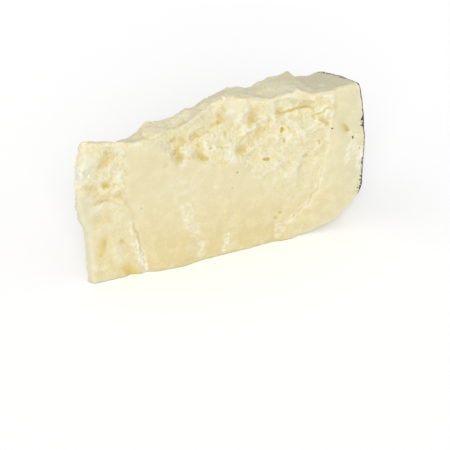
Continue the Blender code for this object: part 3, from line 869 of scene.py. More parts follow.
    def crumbly(self, points: Array, normals: Array) -> Array:
        """Says how far the front has crumbled dry and white.

        Args:
            points: Its points, in metres.
            normals: Which way the surface faces there.

        Returns:
            The share at each point, from 0 to 1.
        """
        seen = seen_on_cut(self.bent(points))
        strength = np.maximum.reduce([scuff.strength(*seen) for scuff in self.scuffs])
        strength = strength * smooth_step(points[:, 1] / MM, *self.scuff_depth)
        return strength * smooth_step(normals[:, 1], *self.backward)

    def deepest(self, features: tuple, points: Array, normals: Array) -> Array:
        """Lays some features on the front, where they are seen on the cut.

        Args:
            features: The hollows that are laid.
            points: The front's points, in metres.
            normals: Which way the surface faces there.

        Returns:
            The depth of the deepest feature at each point.
        """
        seen = seen_on_cut(self.bent(points))
        found = np.maximum.reduce([feature.depth(*seen) for feature in features])
        return found * smooth_step(normals[:, 1], *self.backward)

    def lump(self, points: Array, normals: Array) -> Array:
        """Works out how high the pale lumps on the top stand.

        Args:
            points: The top's points, in metres.
            normals: Which way the surface faces there.

        Returns:
            The height at each point, in millimetres.
        """
        x, y, _ = self.bent(points).T / MM
        height = np.maximum.reduce([-lump.depth(x, y) for lump in self.lumps])
        return height * smooth_step(normals[:, 2], *self.lump_facing)

    def depth(self, points: Array, normals: Array, share: Array, bulge: Array, rind: Array) -> Array:
        """Works out the depth of the small relief.

        Args:
            points: The points of the surface, in metres.
            normals: Their directions.
            share: How broken each of them is.
            bulge: How far each of them stands out over its surroundings, in millimetres.
            rind: How far each of them is rind, from 0 to 1.

        Returns:
            How far each point moves in, in metres.
        """
        bent = self.bent(points)
        patchy = drift(points, self.patchy_size * MM, self.patchy_salt)[:, 0]
        even, uneven = self.curd_shares
        crumbly = self.crumbly(points, normals)
        rough = np.maximum(share, self.scuff_roughness * crumbly)
        depth = sum(breaks.depth(bent) for breaks in self.breaks) * rough
        depth += self.curds.depth(bent) * rough * (even + uneven * smooth_step(patchy, *self.patchy_rise))
        depth += self.eyes.depth(bent) * smooth_step(share, *self.eye_crag)
        depth += self.cut_eyes.depth(points)
        ridge = smooth_step(bulge, *self.ridge_bulge) * smooth_step(points[:, 2] / MM, *self.ridge_rise)
        depth += self.ridge_breaks.depth(bent) * ridge
        depth -= self.lump(points, normals) * MM
        wave = drift(points, self.wave_size * MM, self.wave_salt)[:, 0]
        depth += self.wave_reach * MM * (0.5 + 0.5 * wave)
        seen = seen_on_cut(bent)
        cracks = np.maximum.reduce([crack.depth(*seen) for crack in self.cracks]) * MM
        depth += cracks * smooth_step(-normals[:, 1], *self.crack_facing)
        skin = self.rind_pits.depth(bent)
        skin += self.rind_wave_reach * MM * drift(bent, self.rind_wave_size * MM, self.wave_salt)[:, 1]
        depth = depth + rind * (skin - depth)
        return depth * smooth_step(points[:, 2], 0.0, self.base_hold * MM)


def read_vectors(collection: bpy.types.bpy_prop_collection, name: str) -> Array:
    """Reads a three-number property of every item into an array.

    Args:
        collection: The points, faces or normals of a mesh.
        name: The property.

    Returns:
        One row for each item.
    """
    values = np.empty(len(collection) * 3)
    collection.foreach_get(name, values)
    return values.reshape(-1, 3)


def write_points(mesh: bpy.types.Mesh, points: Array) -> None:
    """Moves the mesh's points."""
    mesh.vertices.foreach_set("co", points.ravel())
    mesh.update()


def neighbour_mean(mesh: bpy.types.Mesh, values: Array, passes: int, share: float | Array = 1.0) -> Array:
    """Averages values with those of the neighbouring points.

    Args:
        mesh: Gives the neighbours.
        values: One row for each point.
        passes: How often they are averaged.
        share: How far each pass goes, 1 for the whole way.

    Returns:
        The evened values.
    """
    ends = np.empty(len(mesh.edges) * 2, dtype=np.int64)
    mesh.edges.foreach_get("vertices", ends)
    first, second = ends.reshape(-1, 2).T
    count = len(values)
    shares = 1.0 + np.bincount(ends, minlength=count)[:, None]
    for _ in range(passes):
        total = values.copy()
        for axis in range(values.shape[1]):
            total[:, axis] += np.bincount(first, values[second, axis], count)
            total[:, axis] += np.bincount(second, values[first, axis], count)
        values = values + share * (total / shares - values)
    return values


def soft_normals(mesh: bpy.types.Mesh, passes: int) -> Array:
    """Vertex normals averaged over their neighbours `passes` times."""
    normals = neighbour_mean(mesh, read_vectors(mesh.vertex_normals, "vector"), passes)
    return normals / np.linalg.norm(normals, axis=1, keepdims=True)


def cut_away(solid: bmesh.types.BMesh, point: tuple, normal: tuple) -> None:
    """Cuts the solid by a plane, drops what the normal points to and closes the cut.

    Args:
        solid: What is cut.
        point: A point of the plane.
        normal: The side that drops off.
    """
    parts = solid.verts[:] + solid.edges[:] + solid.faces[:]
    cut = bmesh.ops.bisect_plane(
        solid, geom=parts, dist=TINY, plane_co=point, plane_no=normal, clear_outer=True
    )
    rim = [item for item in cut["geom_cut"] if isinstance(item, bmesh.types.BMEdge)]
    bmesh.ops.holes_fill(solid, edges=rim, sides=0)


def ordered_mesh(solid: bmesh.types.BMesh, name: str) -> bpy.types.Mesh:
    """Makes a mesh with its points and faces in order of place, so that each run gives the same.

    Args:
        solid: Gives the shape.
        name: The mesh's name.

    Returns:
        The mesh.
    """
    points = sorted(solid.verts, key=lambda point: tuple(point.co))
    numbers = {point: number for number, point in enumerate(points)}
    rings = []
    for face in solid.faces:
        ring = [numbers[point] for point in face.verts]
        first = ring.index(min(ring))
        rings.append(ring[first:] + ring[:first])
    mesh = bpy.data.meshes.new(name)
    mesh.from_pydata([point.co for point in points], [], sorted(rings))
    return mesh


class Value:
    """A value or colour inside a shader. A sum on it adds the node that works it out."""

    def __init__(self, wiring: "Wiring", socket: Socket) -> None:
        """Takes an output of the wiring's tree."""
        self.wiring = wiring
        self.socket = socket

    def __add__(self, other: "Value | float") -> "Value":
        """Adds the two."""
        return self.wiring.math("ADD", self, other)

    def __sub__(self, other: "Value | float") -> "Value":
        """Takes the other away."""
        return self.wiring.math("SUBTRACT", self, other)

    def __mul__(self, other: "Value | float") -> "Value":
        """Multiplies the two."""
        return self.wiring.math("MULTIPLY", self, other)

    def scaled(self, factor: float, shift: float) -> "Value":
        """The value times a factor, with a shift added."""
        return self.wiring.math("MULTIPLY_ADD", self, factor, shift)

    def swing(self, reach: float) -> "Value":
        """A noise of this whole reach, half of it below 0."""
        return self.scaled(reach, -reach / 2.0)

    def rise(self, low: float, high: float, top: float = 1.0) -> "Value":
        """A smooth rise from 0 at low to `top` at high."""
        given = {"Value": self, "From Min": low, "From Max": high, "To Max": top}
        return self.wiring.result("ShaderNodeMapRange", "Result", given, interpolation_type="SMOOTHSTEP")

    def channels(self) -> list["Value"]:
        """Takes a place apart.

        Returns:
            Its three numbers.
        """
        node = self.wiring.add("ShaderNodeSeparateXYZ")
        self.wiring.feed(node.inputs[0], self)
        return [Value(self.wiring, output) for output in node.outputs]


class Wiring:
    """Adds and joins the nodes of one material or group."""

    def __init__(self, tree: bpy.types.NodeTree) -> None:
        """Starts on a tree."""
        self.tree = tree

    def add(self, kind: str, **settings: object) -> bpy.types.Node:
        """Adds a node.

        Args:
            kind: The node's type.
            settings: Its properties.

        Returns:
            The node.
        """
        node = self.tree.nodes.new(kind)
        for name, value in settings.items():
            setattr(node, name, value)
        return node

    def feed(self, target: Socket, given: Value | float | tuple) -> None:
        """Joins a socket to a value, or sets it.

        Args:
            target: The input.
            given: What it takes.
        """
        if isinstance(given, Value):
            self.tree.links.new(given.socket, target)
        else:
            target.default_value = given

    def result(self, kind: str, output: str | int, given: dict, **settings: object) -> Value:
        """Adds a node and takes one of its outputs.

        Args:
            kind: The node's type.
            output: The output's name or number.
            given: What its inputs take, by their names or numbers.
            settings: Its properties.

        Returns:
            The output.
        """
        node = self.add(kind, **settings)
        for name, value in given.items():
            self.feed(node.inputs[name], value)
        return Value(self, node.outputs[output])

    def math(self, operation: str, *values: Value | float, clamp: bool = False) -> Value:
        """The result of a sum on one to three values."""
        given = dict(enumerate(values))
        return self.result("ShaderNodeMath", 0, given, operation=operation, use_clamp=clamp)

    def mix(self, share: Value, first: Value | tuple, second: Value | tuple) -> Value:
        """A colour between two others."""
        return self.result("ShaderNodeMix", 2, {0: share, 6: first, 7: second}, data_type="RGBA")

    def place(self) -> Value:
        """The place in the object's own frame."""
        return self.result("ShaderNodeTexCoord", "Object", {})

    def noise(self, scale: Value | float, detail: float, roughness: float, stretch: tuple = ()) -> Value:
        """Makes noise in the object's own frame.

        Args:
            scale: How fine it is.
            detail: How many finer layers it has.
            roughness: How strong they are.
            stretch: By how much it is finer along each axis.

        Returns:
            The noise, from 0 to 1.
        """
        place = self.place()
        if stretch:
            place = self.result("ShaderNodeMapping", "Vector", {"Vector": place, "Scale": stretch})
        given = {"Vector": place, "Scale": scale, "Detail": detail, "Roughness": roughness}
        return self.result("ShaderNodeTexNoise", "Fac", given)

    def dots(self, scale: Value, channel: int, within: tuple, picked: tuple) -> Value:
        """A strewing of soft dots.

        Args:
            scale: How many places for a dot there are in a metre.
            channel: Which of a place's own numbers says whether it holds a dot.
            within: The distances from its middle where a dot starts and is full.
            picked: The numbers from which a dot shows and is full.

        Returns:
            1 in the dots and 0 between them.
        """
        node = self.add("ShaderNodeTexVoronoi")
        self.feed(node.inputs["Vector"], self.place())
        self.feed(node.inputs["Scale"], scale)
        own = self.result("ShaderNodeSeparateColor", channel, {0: Value(self, node.outputs["Color"])})
        return Value(self, node.outputs["Distance"]).rise(*within) * own.rise(*picked)

    def spot(self, spot: Spot) -> Value:
        """A value that the mesh carries."""
        return self.result("ShaderNodeAttribute", "Fac", {}, attribute_name=spot.value)

    def group(self, tree: bpy.types.NodeTree, **given: float) -> dict[str, Value]:
        """Adds a group.

        Args:
            tree: The group's tree.
            given: Its own values for this place.

        Returns:
            Its outputs by name.
        """
        node = self.add("ShaderNodeGroup", node_tree=tree)
        for label, value in given.items():
            self.feed(node.inputs[label], value)
        return {output.name: Value(self, output) for output in node.outputs}


def make_group(name: str, inputs: dict[str, float], outputs: list[str]) -> tuple[Wiring, dict, dict]:
    """Starts a node group of numbers.

    Args:
        name: The group's name.
        inputs: Its inputs and their defaults.
        outputs: The names of its outputs.

    Returns:
        Its wiring, the values of its inputs by name, and its output sockets by name.
    """
    tree = bpy.data.node_groups.new(name, "ShaderNodeTree")
    for label, value in inputs.items():
        socket = tree.interface.new_socket(label, in_out="INPUT", socket_type="NodeSocketFloat")
        socket.default_value = value
    for label in outputs:
        tree.interface.new_socket(label, in_out="OUTPUT", socket_type="NodeSocketFloat")
    wiring = Wiring(tree)
    start = wiring.add("NodeGroupInput")
    end = wiring.add("NodeGroupOutput")
    given = {label: Value(wiring, start.outputs[label]) for label in inputs}
    return wiring, given, {label: end.inputs[label] for label in outputs}


@dataclass(frozen=True)
class Grain:
    """The fine grain of the paste: its height, pale crystals, mottling and dark specks."""

    coarse: tuple = (3.0, 0.65)  # the detail and roughness of the coarser grain
    coarse_share: float = 0.5
    fine: tuple = (2.0, 0.5)
    fine_scale: float = 0.33
    mottle: tuple = (150.0, 4.0, 0.6)
    crystals: tuple = (0, (0.42, 0.12), (0.62, 0.9))
    specks: tuple = (1, (0.11, 0.05), (0.994, 0.998))

    def group(self) -> bpy.types.NodeTree:
        """Makes the group of the grain.

        Returns:
            The group, which any finish can place.
        """
        wiring, given, made = make_group(
            "paste_grain",
            {"Grain": 1500.0, "Crystals": 900.0, "Specks": 260.0},
            ["Height", "Crystals", "Mottle", "Specks"],
        )
        coarse = wiring.noise(given["Grain"], *self.coarse)
        fine = wiring.noise(given["Grain"] * self.fine_scale, *self.fine)
        wiring.feed(made["Height"], coarse * self.coarse_share + fine)
        wiring.feed(made["Crystals"], wiring.dots(given["Crystals"], *self.crystals))
        wiring.feed(made["Mottle"], wiring.noise(*self.mottle))
        wiring.feed(made["Specks"], wiring.dots(given["Specks"], *self.specks))
        return wiring.tree


@dataclass(frozen=True)
class RindLine:
    """Where the rind lies: on the wheel's outer side, and as a thin ragged line along the cuts."""

    ragged: tuple = (1000.0, 3.0, 0.65)
    reach: tuple = (5.6, -1.9)  # from where the noise leaves the line out to where it is widest
    full: tuple = (3.4, 5.2, 12.0)  # a line this wide has no gaps
    edge: tuple = (-0.12, 0.12)
    end: tuple = (110.0, 5.0, 0.7)
    end_reach: float = 0.022
    end_edge: tuple = (0.0005, 0.0022)

    def group(self) -> bpy.types.NodeTree:
        """Makes the group of the rind's line.

        Returns:
            The group, which any finish can place.
        """
        wiring, given, made = make_group("rind_line", {"Lowest": 0.0205}, ["Rind"])
        line = wiring.spot(Spot.LINE)
        within = line * wiring.noise(*self.ragged).scaled(*self.reach) - wiring.spot(Spot.BENEATH)
        within = within + line.rise(*self.full)
        _, _, height = wiring.place().channels()
        above = height - given["Lowest"] + wiring.noise(*self.end).swing(self.end_reach)
        wiring.feed(made["Rind"], within.rise(*self.edge) * above.rise(*self.end_edge))
        return wiring.tree


@dataclass(frozen=True)
class Finish:
    """What every finish shares: a name, a roughness, and how it shines and scatters light."""

    name: str
    roughness: float
    specular: float
    scatter: float = 0.0
    scatter_reach: tuple = (1.0, 1.0, 1.0)
    scatter_scale: float = 1.0 * MM
    bump: float = 0.0
    bump_reach: float = 1.0 * MM

    def start(self) -> tuple[bpy.types.Material, Wiring, bpy.types.Node]:
        """Starts the finish's material.

        Returns:
            The material, its wiring and its shader.
        """
        made = bpy.data.materials.new(self.name)
        made.use_nodes = True
        shader = made.node_tree.nodes["Principled BSDF"]
        shader.inputs["Roughness"].default_value = self.roughness
        shader.inputs["Specular IOR Level"].default_value = self.specular
        if self.scatter:
            shader.inputs["Subsurface Weight"].default_value = self.scatter
            shader.inputs["Subsurface Radius"].default_value = self.scatter_reach
            shader.inputs["Subsurface Scale"].default_value = self.scatter_scale
        return made, Wiring(made.node_tree), shader

    def roughen(self, wiring: Wiring, shader: bpy.types.Node, height: Value) -> None:
        """Gives the shader the finish's bumps of this height."""
        given = {"Strength": self.bump, "Distance": self.bump_reach, "Height": height}
        wiring.feed(shader.inputs["Normal"], wiring.result("ShaderNodeBump", "Normal", given))


@dataclass(frozen=True)
class PasteFinish(Finish):
    """The pale ivory-yellow paste, paler and drier where it is broken, with painted shade that makes its
    hollows, dents, holes and cracks darker and yellower, and painted light and shade on its top.
    """

    name: str = "paste"
    roughness: float = 0.62
    specular: float = 0.3
    scatter: float = 0.9
    scatter_reach: tuple = (1.0, 0.88, 0.60)
    scatter_scale: float = 3.0 * MM
    bump: float = 0.35
    bump_reach: float = 0.25 * MM
    cut: tuple = (0.612, 0.546, 0.352, 1.0)
    low_cut: tuple = (0.578, 0.489, 0.262, 1.0)
    broken: tuple = (0.662, 0.615, 0.415, 1.0)
    hump: tuple = (0.650, 0.652, 0.546, 1.0)
    # The darker yellow of painted shade in dents and hollows; it also gives random yellow mottling
    hollow: tuple = (0.580, 0.470, 0.190, 1.0)
    # The yellow-brown of painted shade in the listed holes, cracks, notch and ledges
    painted_shade: tuple = (0.575, 0.462, 0.140, 1.0)
    # Painted light and shade of the top: a lighter lit tone, and a darker, greyer shaded tone
    lit_top: tuple = (0.705, 0.650, 0.455, 1.0)
    shaded_top: tuple = (0.585, 0.540, 0.373, 1.0)
    near_rind: tuple = (0.572, 0.536, 0.368, 1.0)
    tip: tuple = (0.588, 0.558, 0.398, 1.0)
    crumbled: tuple = (0.710, 0.685, 0.570, 1.0)
    crystal: tuple = (0.760, 0.730, 0.590, 1.0)
    speck: tuple = (0.170, 0.110, 0.040, 1.0)
    rind: tuple = (0.016, 0.015, 0.017, 1.0)
    # Noises: how fine, how detailed and how rough they are
    clouds: tuple = (260.0, 4.0, 0.65)
    curds: tuple = (820.0, 3.0, 0.6)
    top_mottle: tuple = (330.0, 4.0, 0.65)
    blotches: tuple = (330.0, 3.0, 0.6)
    shreds: tuple = (560.0, 5.0, 0.7)
    crumbs: tuple = (480.0, 5.0, 0.68)
    # Rises: where a layer starts, where it is full, and its strength there
    unpaled: tuple = (0.9, 0.0)
    low_rise: tuple = (0.045, 0.0)
    rind_rise: tuple = (26.0, 4.0, 0.8)
    mottle_rise: tuple = (0.40, 0.68)
    cloud_yellow: tuple = (0.52, 0.40, 0.36)
    cloud_grain: tuple = (0.1, 0.6)
    top_rise: tuple = (0.46, 0.62, 0.5)
    cleft_rise: tuple = (0.48, 0.34, 0.4)
    crown_rise: tuple = (0.52, 0.66, 0.6)
    curd_grain: tuple = (0.05, 0.5)
    hump_rise: tuple = (0.0, -0.6)
    hump_crag: tuple = (0.1, 0.5)
    hump_below_top: tuple = (0.6, 0.0)
    tip_x: tuple = (-0.071, -0.079)
    tip_z: tuple = (0.060, 0.046)
    shade_rise: tuple = (0.15, 1.3, 0.9)
    pale_rise: tuple = (0.15, 1.0, 0.6)
    shred_rise: tuple = (0.38, 0.62)
    shred_clouds: tuple = (0.52, 0.72)
    crumbly_rise: tuple = (0.0, 0.9)
    speck_rise: tuple = (0.1, 0.6, 0.95)
    crumb_rise: tuple = (0.02, 0.6, 5.0)
    # How strongly the plain layers show
    crag_paleness: float = 0.85
    mottle_paleness: float = 0.5
    top_cover: float = 0.85
    crystal_cover: float = 0.35
    # How far the clouds fray the edge of a layer
    hump_fray: float = -1.8
    blotch_fray: float = 1.6
    pale_fray: float = 2.6
    shred_share: tuple = (0.85, 0.15)
    shred_reach: float = 0.28
    mottle_roughness: tuple = (0.25, -0.1)

    def material(self, grain: bpy.types.NodeTree, rind_line: bpy.types.NodeTree) -> bpy.types.Material:
        """Makes the paste's material.

        Args:
            grain: The group of the fine grain.
            rind_line: The group of the rind's thin line.

        Returns:
            The material.
        """
        made, wiring, shader = self.start()
        grains = wiring.group(grain)
        mottle = grains["Mottle"]
        cloudy = wiring.noise(*self.clouds)
        curdy = wiring.noise(*self.curds)
        crag = wiring.spot(Spot.CRAG)
        pale = wiring.spot(Spot.PALE)
        hollow = wiring.spot(Spot.HOLLOW)
        upward = wiring.spot(Spot.UPWARD)
        crumbly = wiring.spot(Spot.CRUMBLY)
        granular = crag * pale.rise(*self.unpaled)
        x, _, z = wiring.place().channels()
        colour = wiring.mix(z.rise(*self.low_rise), self.cut, self.low_cut)
        # The top is painted in light and shade: lighter on its left and middle, darker and greyer towards
        # the rind and on its front rim
        top = wiring.mix(wiring.spot(Spot.TOP_SHADE), self.lit_top, self.shaded_top)
        top = wiring.mix(wiring.noise(*self.top_mottle).rise(*self.top_rise), top, self.broken)
        paler = mottle.rise(*self.mottle_rise) * self.mottle_paleness
        curd_grain = granular.rise(*self.curd_grain)
        humps = (hollow + cloudy.swing(self.hump_fray)).rise(*self.hump_rise)
        # Painted shade: the paste darkens and yellows with the depth of dents and hollows
        hollow_shade = hollow + wiring.noise(*self.blotches).swing(self.blotch_fray)
        # Painted shade at the listed holes, cracks and ledges
        shade_marked = wiring.spot(Spot.PAINTED_SHADE) + cloudy.swing(self.blotch_fray)
        shreds = wiring.noise(*self.shreds).rise(*self.shred_rise).scaled(*self.shred_share)
        shreds = shreds * (cloudy + crumbly * self.shred_reach).rise(*self.shred_clouds)
        layers = (
            (wiring.spot(Spot.BENEATH).rise(*self.rind_rise), self.near_rind),
            (wiring.math("ADD", crag * self.crag_paleness, paler, clamp=True), self.broken),
            (cloudy.rise(*self.cloud_yellow) * granular.rise(*self.cloud_grain), self.hollow),
            (upward * self.top_cover, top),
            (curdy.rise(*self.cleft_rise) * curd_grain, self.hollow),
            (curdy.rise(*self.crown_rise) * curd_grain, self.hump),
            (humps * crag.rise(*self.hump_crag) * upward.rise(*self.hump_below_top), self.hump),
            (x.rise(*self.tip_x) * z.rise(*self.tip_z), self.tip),
            (hollow_shade.rise(*self.shade_rise), self.hollow),
            (shade_marked.rise(*self.shade_rise), self.painted_shade),
            ((pale + cloudy.swing(self.pale_fray)).rise(*self.pale_rise), self.hump),
            (crumbly.rise(*self.crumbly_rise) * shreds, self.crumbled),
            (grains["Crystals"] * self.crystal_cover, self.crystal),
            (grains["Specks"], self.speck),
            (wiring.spot(Spot.SPECK).rise(*self.speck_rise), self.rind),
            (wiring.group(rind_line)["Rind"], self.rind),
        )
        for share, layer in layers:
            colour = wiring.mix(share, colour, layer)
        wiring.feed(shader.inputs["Base Color"], colour)
        factor, shift = self.mottle_roughness
        wiring.feed(shader.inputs["Roughness"], mottle.scaled(factor, self.roughness + shift))
        crumb = wiring.noise(*self.crumbs) * crag.rise(*self.crumb_rise)
        self.roughen(wiring, shader, grains["Height"] + crumb)
        return made


@dataclass(frozen=True)
class RindFinish(Finish):
    """The charcoal rind, pitted and dusted with grey and white bloom."""

    name: str = "rind"
    roughness: float = 0.8
    specular: float = 0.2
    bump: float = 0.7
    bump_reach: float = 0.5 * MM
    dark: tuple = (0.020, 0.019, 0.023, 1.0)
    worn: tuple = (0.050, 0.049, 0.056, 1.0)
    bloom: tuple = (0.230, 0.235, 0.245, 1.0)
    dust: tuple = (0.620, 0.600, 0.540, 1.0)
    pit: tuple = (0.008, 0.008, 0.010, 1.0)
    paste: tuple = (0.620, 0.580, 0.410, 1.0)
    # Noises: how fine, how detailed and how rough they are, and how they are stretched
    wear: tuple = (90.0, 6.0, 0.7, (1.0, 1.0, 1.8))
    clouds: tuple = (38.0, 5.0, 0.65)
    flecks: tuple = (430.0, 4.0, 0.7, (1.0, 1.0, 1.8))
    pits: tuple = (210.0, 2.0, 0.5, (1.0, 1.0, 2.0))
    # Rises: where a layer starts and where it is full
    wear_rise: tuple = (0.38, 0.66)
    bloom_clouds: tuple = (0.44, 0.68)
    bloom_flecks: tuple = (0.42, 0.60)
    dust_clouds: tuple = (0.46, 0.62)
    dust_flecks: tuple = (0.64, 0.74)
    pit_rise: tuple = (0.36, 0.30)
    bloom_cover: float = 0.8
    fleck_height: float = 0.5

    def material(self, rind_line: bpy.types.NodeTree) -> bpy.types.Material:
        """Makes the rind's material.

        Args:
            rind_line: The group that says where the rind lies.

        Returns:
            The material.
        """
        made, wiring, shader = self.start()
        wear = wiring.noise(*self.wear)
        cloud = wiring.noise(*self.clouds)
        fleck = wiring.noise(*self.flecks)
        pits = wiring.noise(*self.pits).rise(*self.pit_rise)
        bloom = cloud.rise(*self.bloom_clouds) * fleck.rise(*self.bloom_flecks)
        dust = cloud.rise(*self.dust_clouds) * fleck.rise(*self.dust_flecks)
        colour = wiring.mix(wear.rise(*self.wear_rise), self.dark, self.worn)
        colour = wiring.mix(bloom * self.bloom_cover, colour, self.bloom)
        colour = wiring.mix(dust, colour, self.dust)
        colour = wiring.mix(pits, colour, self.pit)
        colour = wiring.mix(wiring.group(rind_line)["Rind"], self.paste, colour)
        wiring.feed(shader.inputs["Base Color"], colour)
        self.roughen(wiring, shader, wear + fleck * self.fleck_height - pits)
        return made


@dataclass(frozen=True)
class CrumbFinish(Finish):
    """The clinging crumbs: dry paste, almost white."""

    name: str = "crumb"
    roughness: float = 0.8
    specular: float = 0.2
    scatter: float = 0.9
    scatter_reach: tuple = (1.0, 0.80, 0.45)
    scatter_scale: float = 1.2 * MM
    pale: tuple = (0.730, 0.700, 0.570, 1.0)
    warm: tuple = (0.680, 0.630, 0.440, 1.0)
    warmth: tuple = (0.35, 0.65)

    def material(self, grain: bpy.types.NodeTree) -> bpy.types.Material:
        """Makes the crumbs' material.

        Args:
            grain: The group of the fine grain.

        Returns:
            The material.
        """
        made, wiring, shader = self.start()
        mottle = wiring.group(grain)["Mottle"]
        colour = wiring.mix(mottle.rise(*self.warmth), self.warm, self.pale)
        wiring.feed(shader.inputs["Base Color"], colour)
        return made


@dataclass
class Chunk:
    """The chunk itself: carved, broken, laid with rind and dressed."""

    wheel: Wheel
    form: Form
    fine: FineForm
    voxel: float = 1.2 * MM  # of the mesh that is broken as the solid is
    fine_voxel: float = 0.55 * MM  # and of the one that takes the small relief
    soften_passes: int = 8
    cut_softness: float = 0.18  # how far the knife's own edges are softened, where crags are at 1
    normal_passes: int = 10
    even_passes: int = 8
    fine_normal_passes: int = 6
    edge_passes: int = 24
    edge_crumble: float = 1.2  # how much more broken the edges are
    edge_bulge: tuple = (0.15, 0.7)  # an edge is what stands out this far, in millimetres
    triangles: int = 170000
    shortest: float = 0.02 * MM  # shorter edges are dropped along the base
    hollow_passes: int = 60  # over so many neighbours dents, leans and broad directions are read
    rind_face: float = 2.0  # faces less far below the outer side than this are rind, in millimetres
    rind_edge: tuple = (2, 0.8)  # the rind's relief fades between these distances below the outer side
    rind_lowest: float = 19.0  # and below this height none are
    rind_foot: tuple = (17, 22)  # and between these heights
    # How far in the rind's line reaches: on the front by the height, and on the top by the distance behind
    # the front
    front_line: tuple = (
        (19, 1.8), (24, 2.5), (28, 2.2), (32, 1.5), (36, 1.5), (39.5, 2.5), (43, 0.7), (53, 1.3),
        (56, 0.5), (59, 1), (61, 2.4), (66, 2.2), (69, 0.8), (74, 0.5), (80, 0.6), (86, 0.7),
    )
    top_line: tuple = ((0, 0.8), (6, 1.2), (11, 1.4), (16, 2.8), (21, 2.2), (30, 2.6), (46, 2.4))
    full_line: float = 6.0  # and on the outer side itself, where the rind has no gaps
    line_upward: tuple = (0.35, 0.75)  # from the front's line to the top's, by how far the surface faces up
    line_outward: tuple = (0.35, 0.7)  # and to the full line, by how far it faces outward
    line_depth: tuple = (5, 3.5)  # and by how far it lies below the outer side
    # Knots of x, and how far the top and its rim are painted in shade, darker and greyer
    top_shading: tuple = ((40, 0), (70, 0.15), (95, 0.1), (110, 0.3), (122, 0.75), (130, 1))
    rim_shading: tuple = ((30, 0.2), (40, 1), (64, 1), (80, 0))
    rim_start: tuple = (-0.1, 0.2)  # the rim lies between these two leans of the surface
    rim_end: tuple = (0.8, 0.55)
    rim_left: tuple = (80, 64)  # to the left of this the top's painted light and shade take in its rim
    rim_reach: float = 0.2  # how much further down the lean it then reaches
    top_lean: tuple = (0.15, 0.6)
    top_skin: tuple = (-12, -7)  # the top's painted light and shade end between these heights below it
    dent_share: float = 0.5  # how much painted shade small dents take, against the hollows of the table
    hollow_share: float = 0.45
    top_dents: float = 0.8  # how much less painted shade they take on the top
    lump_rise: tuple = (0.05, 0.45)
    lump_paleness: float = 0.75
    back_plainness: float = 0.65  # how much less mottled the back's broken edge is than the front

    def block(self) -> bpy.types.Object:
        """Turns half a wheel and cuts the wedge from it, by the knife and at the tip.

        Returns:
            The unbroken block.
        """
        solid = bmesh.new()
        rim = [solid.verts.new((reach * MM, 0.0, height * MM)) for reach, height in self.wheel.profile()]
        rim_edges = [solid.edges.new(pair) for pair in zip(rim, rim[1:] + rim[:1])]
        face = bmesh.ops.contextual_create(solid, geom=rim_edges)["faces"]
        bmesh.ops.spin(
            solid,
            geom=face + rim_edges + rim,
            cent=(0.0, 0.0, 0.0),
            axis=(0.0, 0.0, 1.0),
            angle=math.pi,
            steps=self.wheel.turn_steps,
        )
        bmesh.ops.remove_doubles(solid, verts=solid.verts[:], dist=TINY)
        angle, turn = self.form.cut_angle, self.form.tip_turn
        cut_away(solid, (-self.form.cuts_meet * MM, 0.0, 0.0), (-math.sin(angle), math.cos(angle), 0.0))
        cut_away(solid, (self.form.tip_reach * MM, 0.0, 0.0), (-math.cos(turn), -math.sin(turn), 0.0))
        bmesh.ops.recalc_face_normals(solid, faces=solid.faces[:])
        made = bpy.data.objects.new("chunk", ordered_mesh(solid, "chunk"))
        solid.free()
        bpy.context.scene.collection.objects.link(made)
        return made

    def even(self, obj: bpy.types.Object, kind: str, **settings: object) -> None:
        """Runs a modifier and keeps its result as the object's mesh.

        Args:
            obj: The object.
            kind: The modifier's type.
            settings: Its properties.
        """
        modifier = obj.modifiers.new("even", kind)
        for name, value in settings.items():
            setattr(modifier, name, value)
        graph = bpy.context.evaluated_depsgraph_get()
        mesh = bpy.data.meshes.new_from_object(obj.evaluated_get(graph))
        obj.modifiers.remove(modifier)
        obj.data = mesh

    def rind_share(self, points: Array) -> Array:
        """How far each point lies in the rind, from 0 to 1."""
        near = smooth_step(self.wheel.beneath(points), *self.rind_edge)
        return near * smooth_step(points[:, 2] / MM, *self.rind_foot)

    def line_reach(self, points: Array, normals: Array) -> Array:
        """Works out how far below the outer side the rind reaches.

        Args:
            points: The points, in metres.
            normals: Which way the surface faces there.

        Returns:
            The reach at each point, in millimetres.
        """
        _, y, z = points.T / MM
        front = eased_line(z, self.front_line)
        upward = smooth_step(normals[:, 2], *self.line_upward)
        reach = front + upward * (eased_line(y, self.top_line) - front)
        radial = points[:, :2] / np.linalg.norm(points[:, :2], axis=1, keepdims=True)
        outward = smooth_step((normals[:, :2] * radial).sum(axis=1), *self.line_outward)
        outward *= smooth_step(self.wheel.beneath(points), *self.line_depth)
        return reach + outward * (self.full_line - reach)

    def break_open(self, obj: bpy.types.Object) -> None:
        """Rounds the block's edges and moves its surface to the broken one, as in the solid.

        Args:
            obj: The block.
        """
        self.even(obj, "REMESH", mode="VOXEL", voxel_size=self.voxel)
        mesh = obj.data
        points = read_vectors(mesh.vertices, "co")
        share = self.form.crag_share(points, soft_normals(mesh, self.normal_passes))
        share = np.maximum(share, self.cut_softness)
        points = neighbour_mean(mesh, points, self.soften_passes, share[:, None])
        write_points(mesh, self.form.shape_block(points, self.wheel.height))
        points = read_vectors(mesh.vertices, "co")
        normals = soft_normals(mesh, self.normal_passes)
        write_points(mesh, points - normals * self.form.break_depth(points, normals)[:, None])

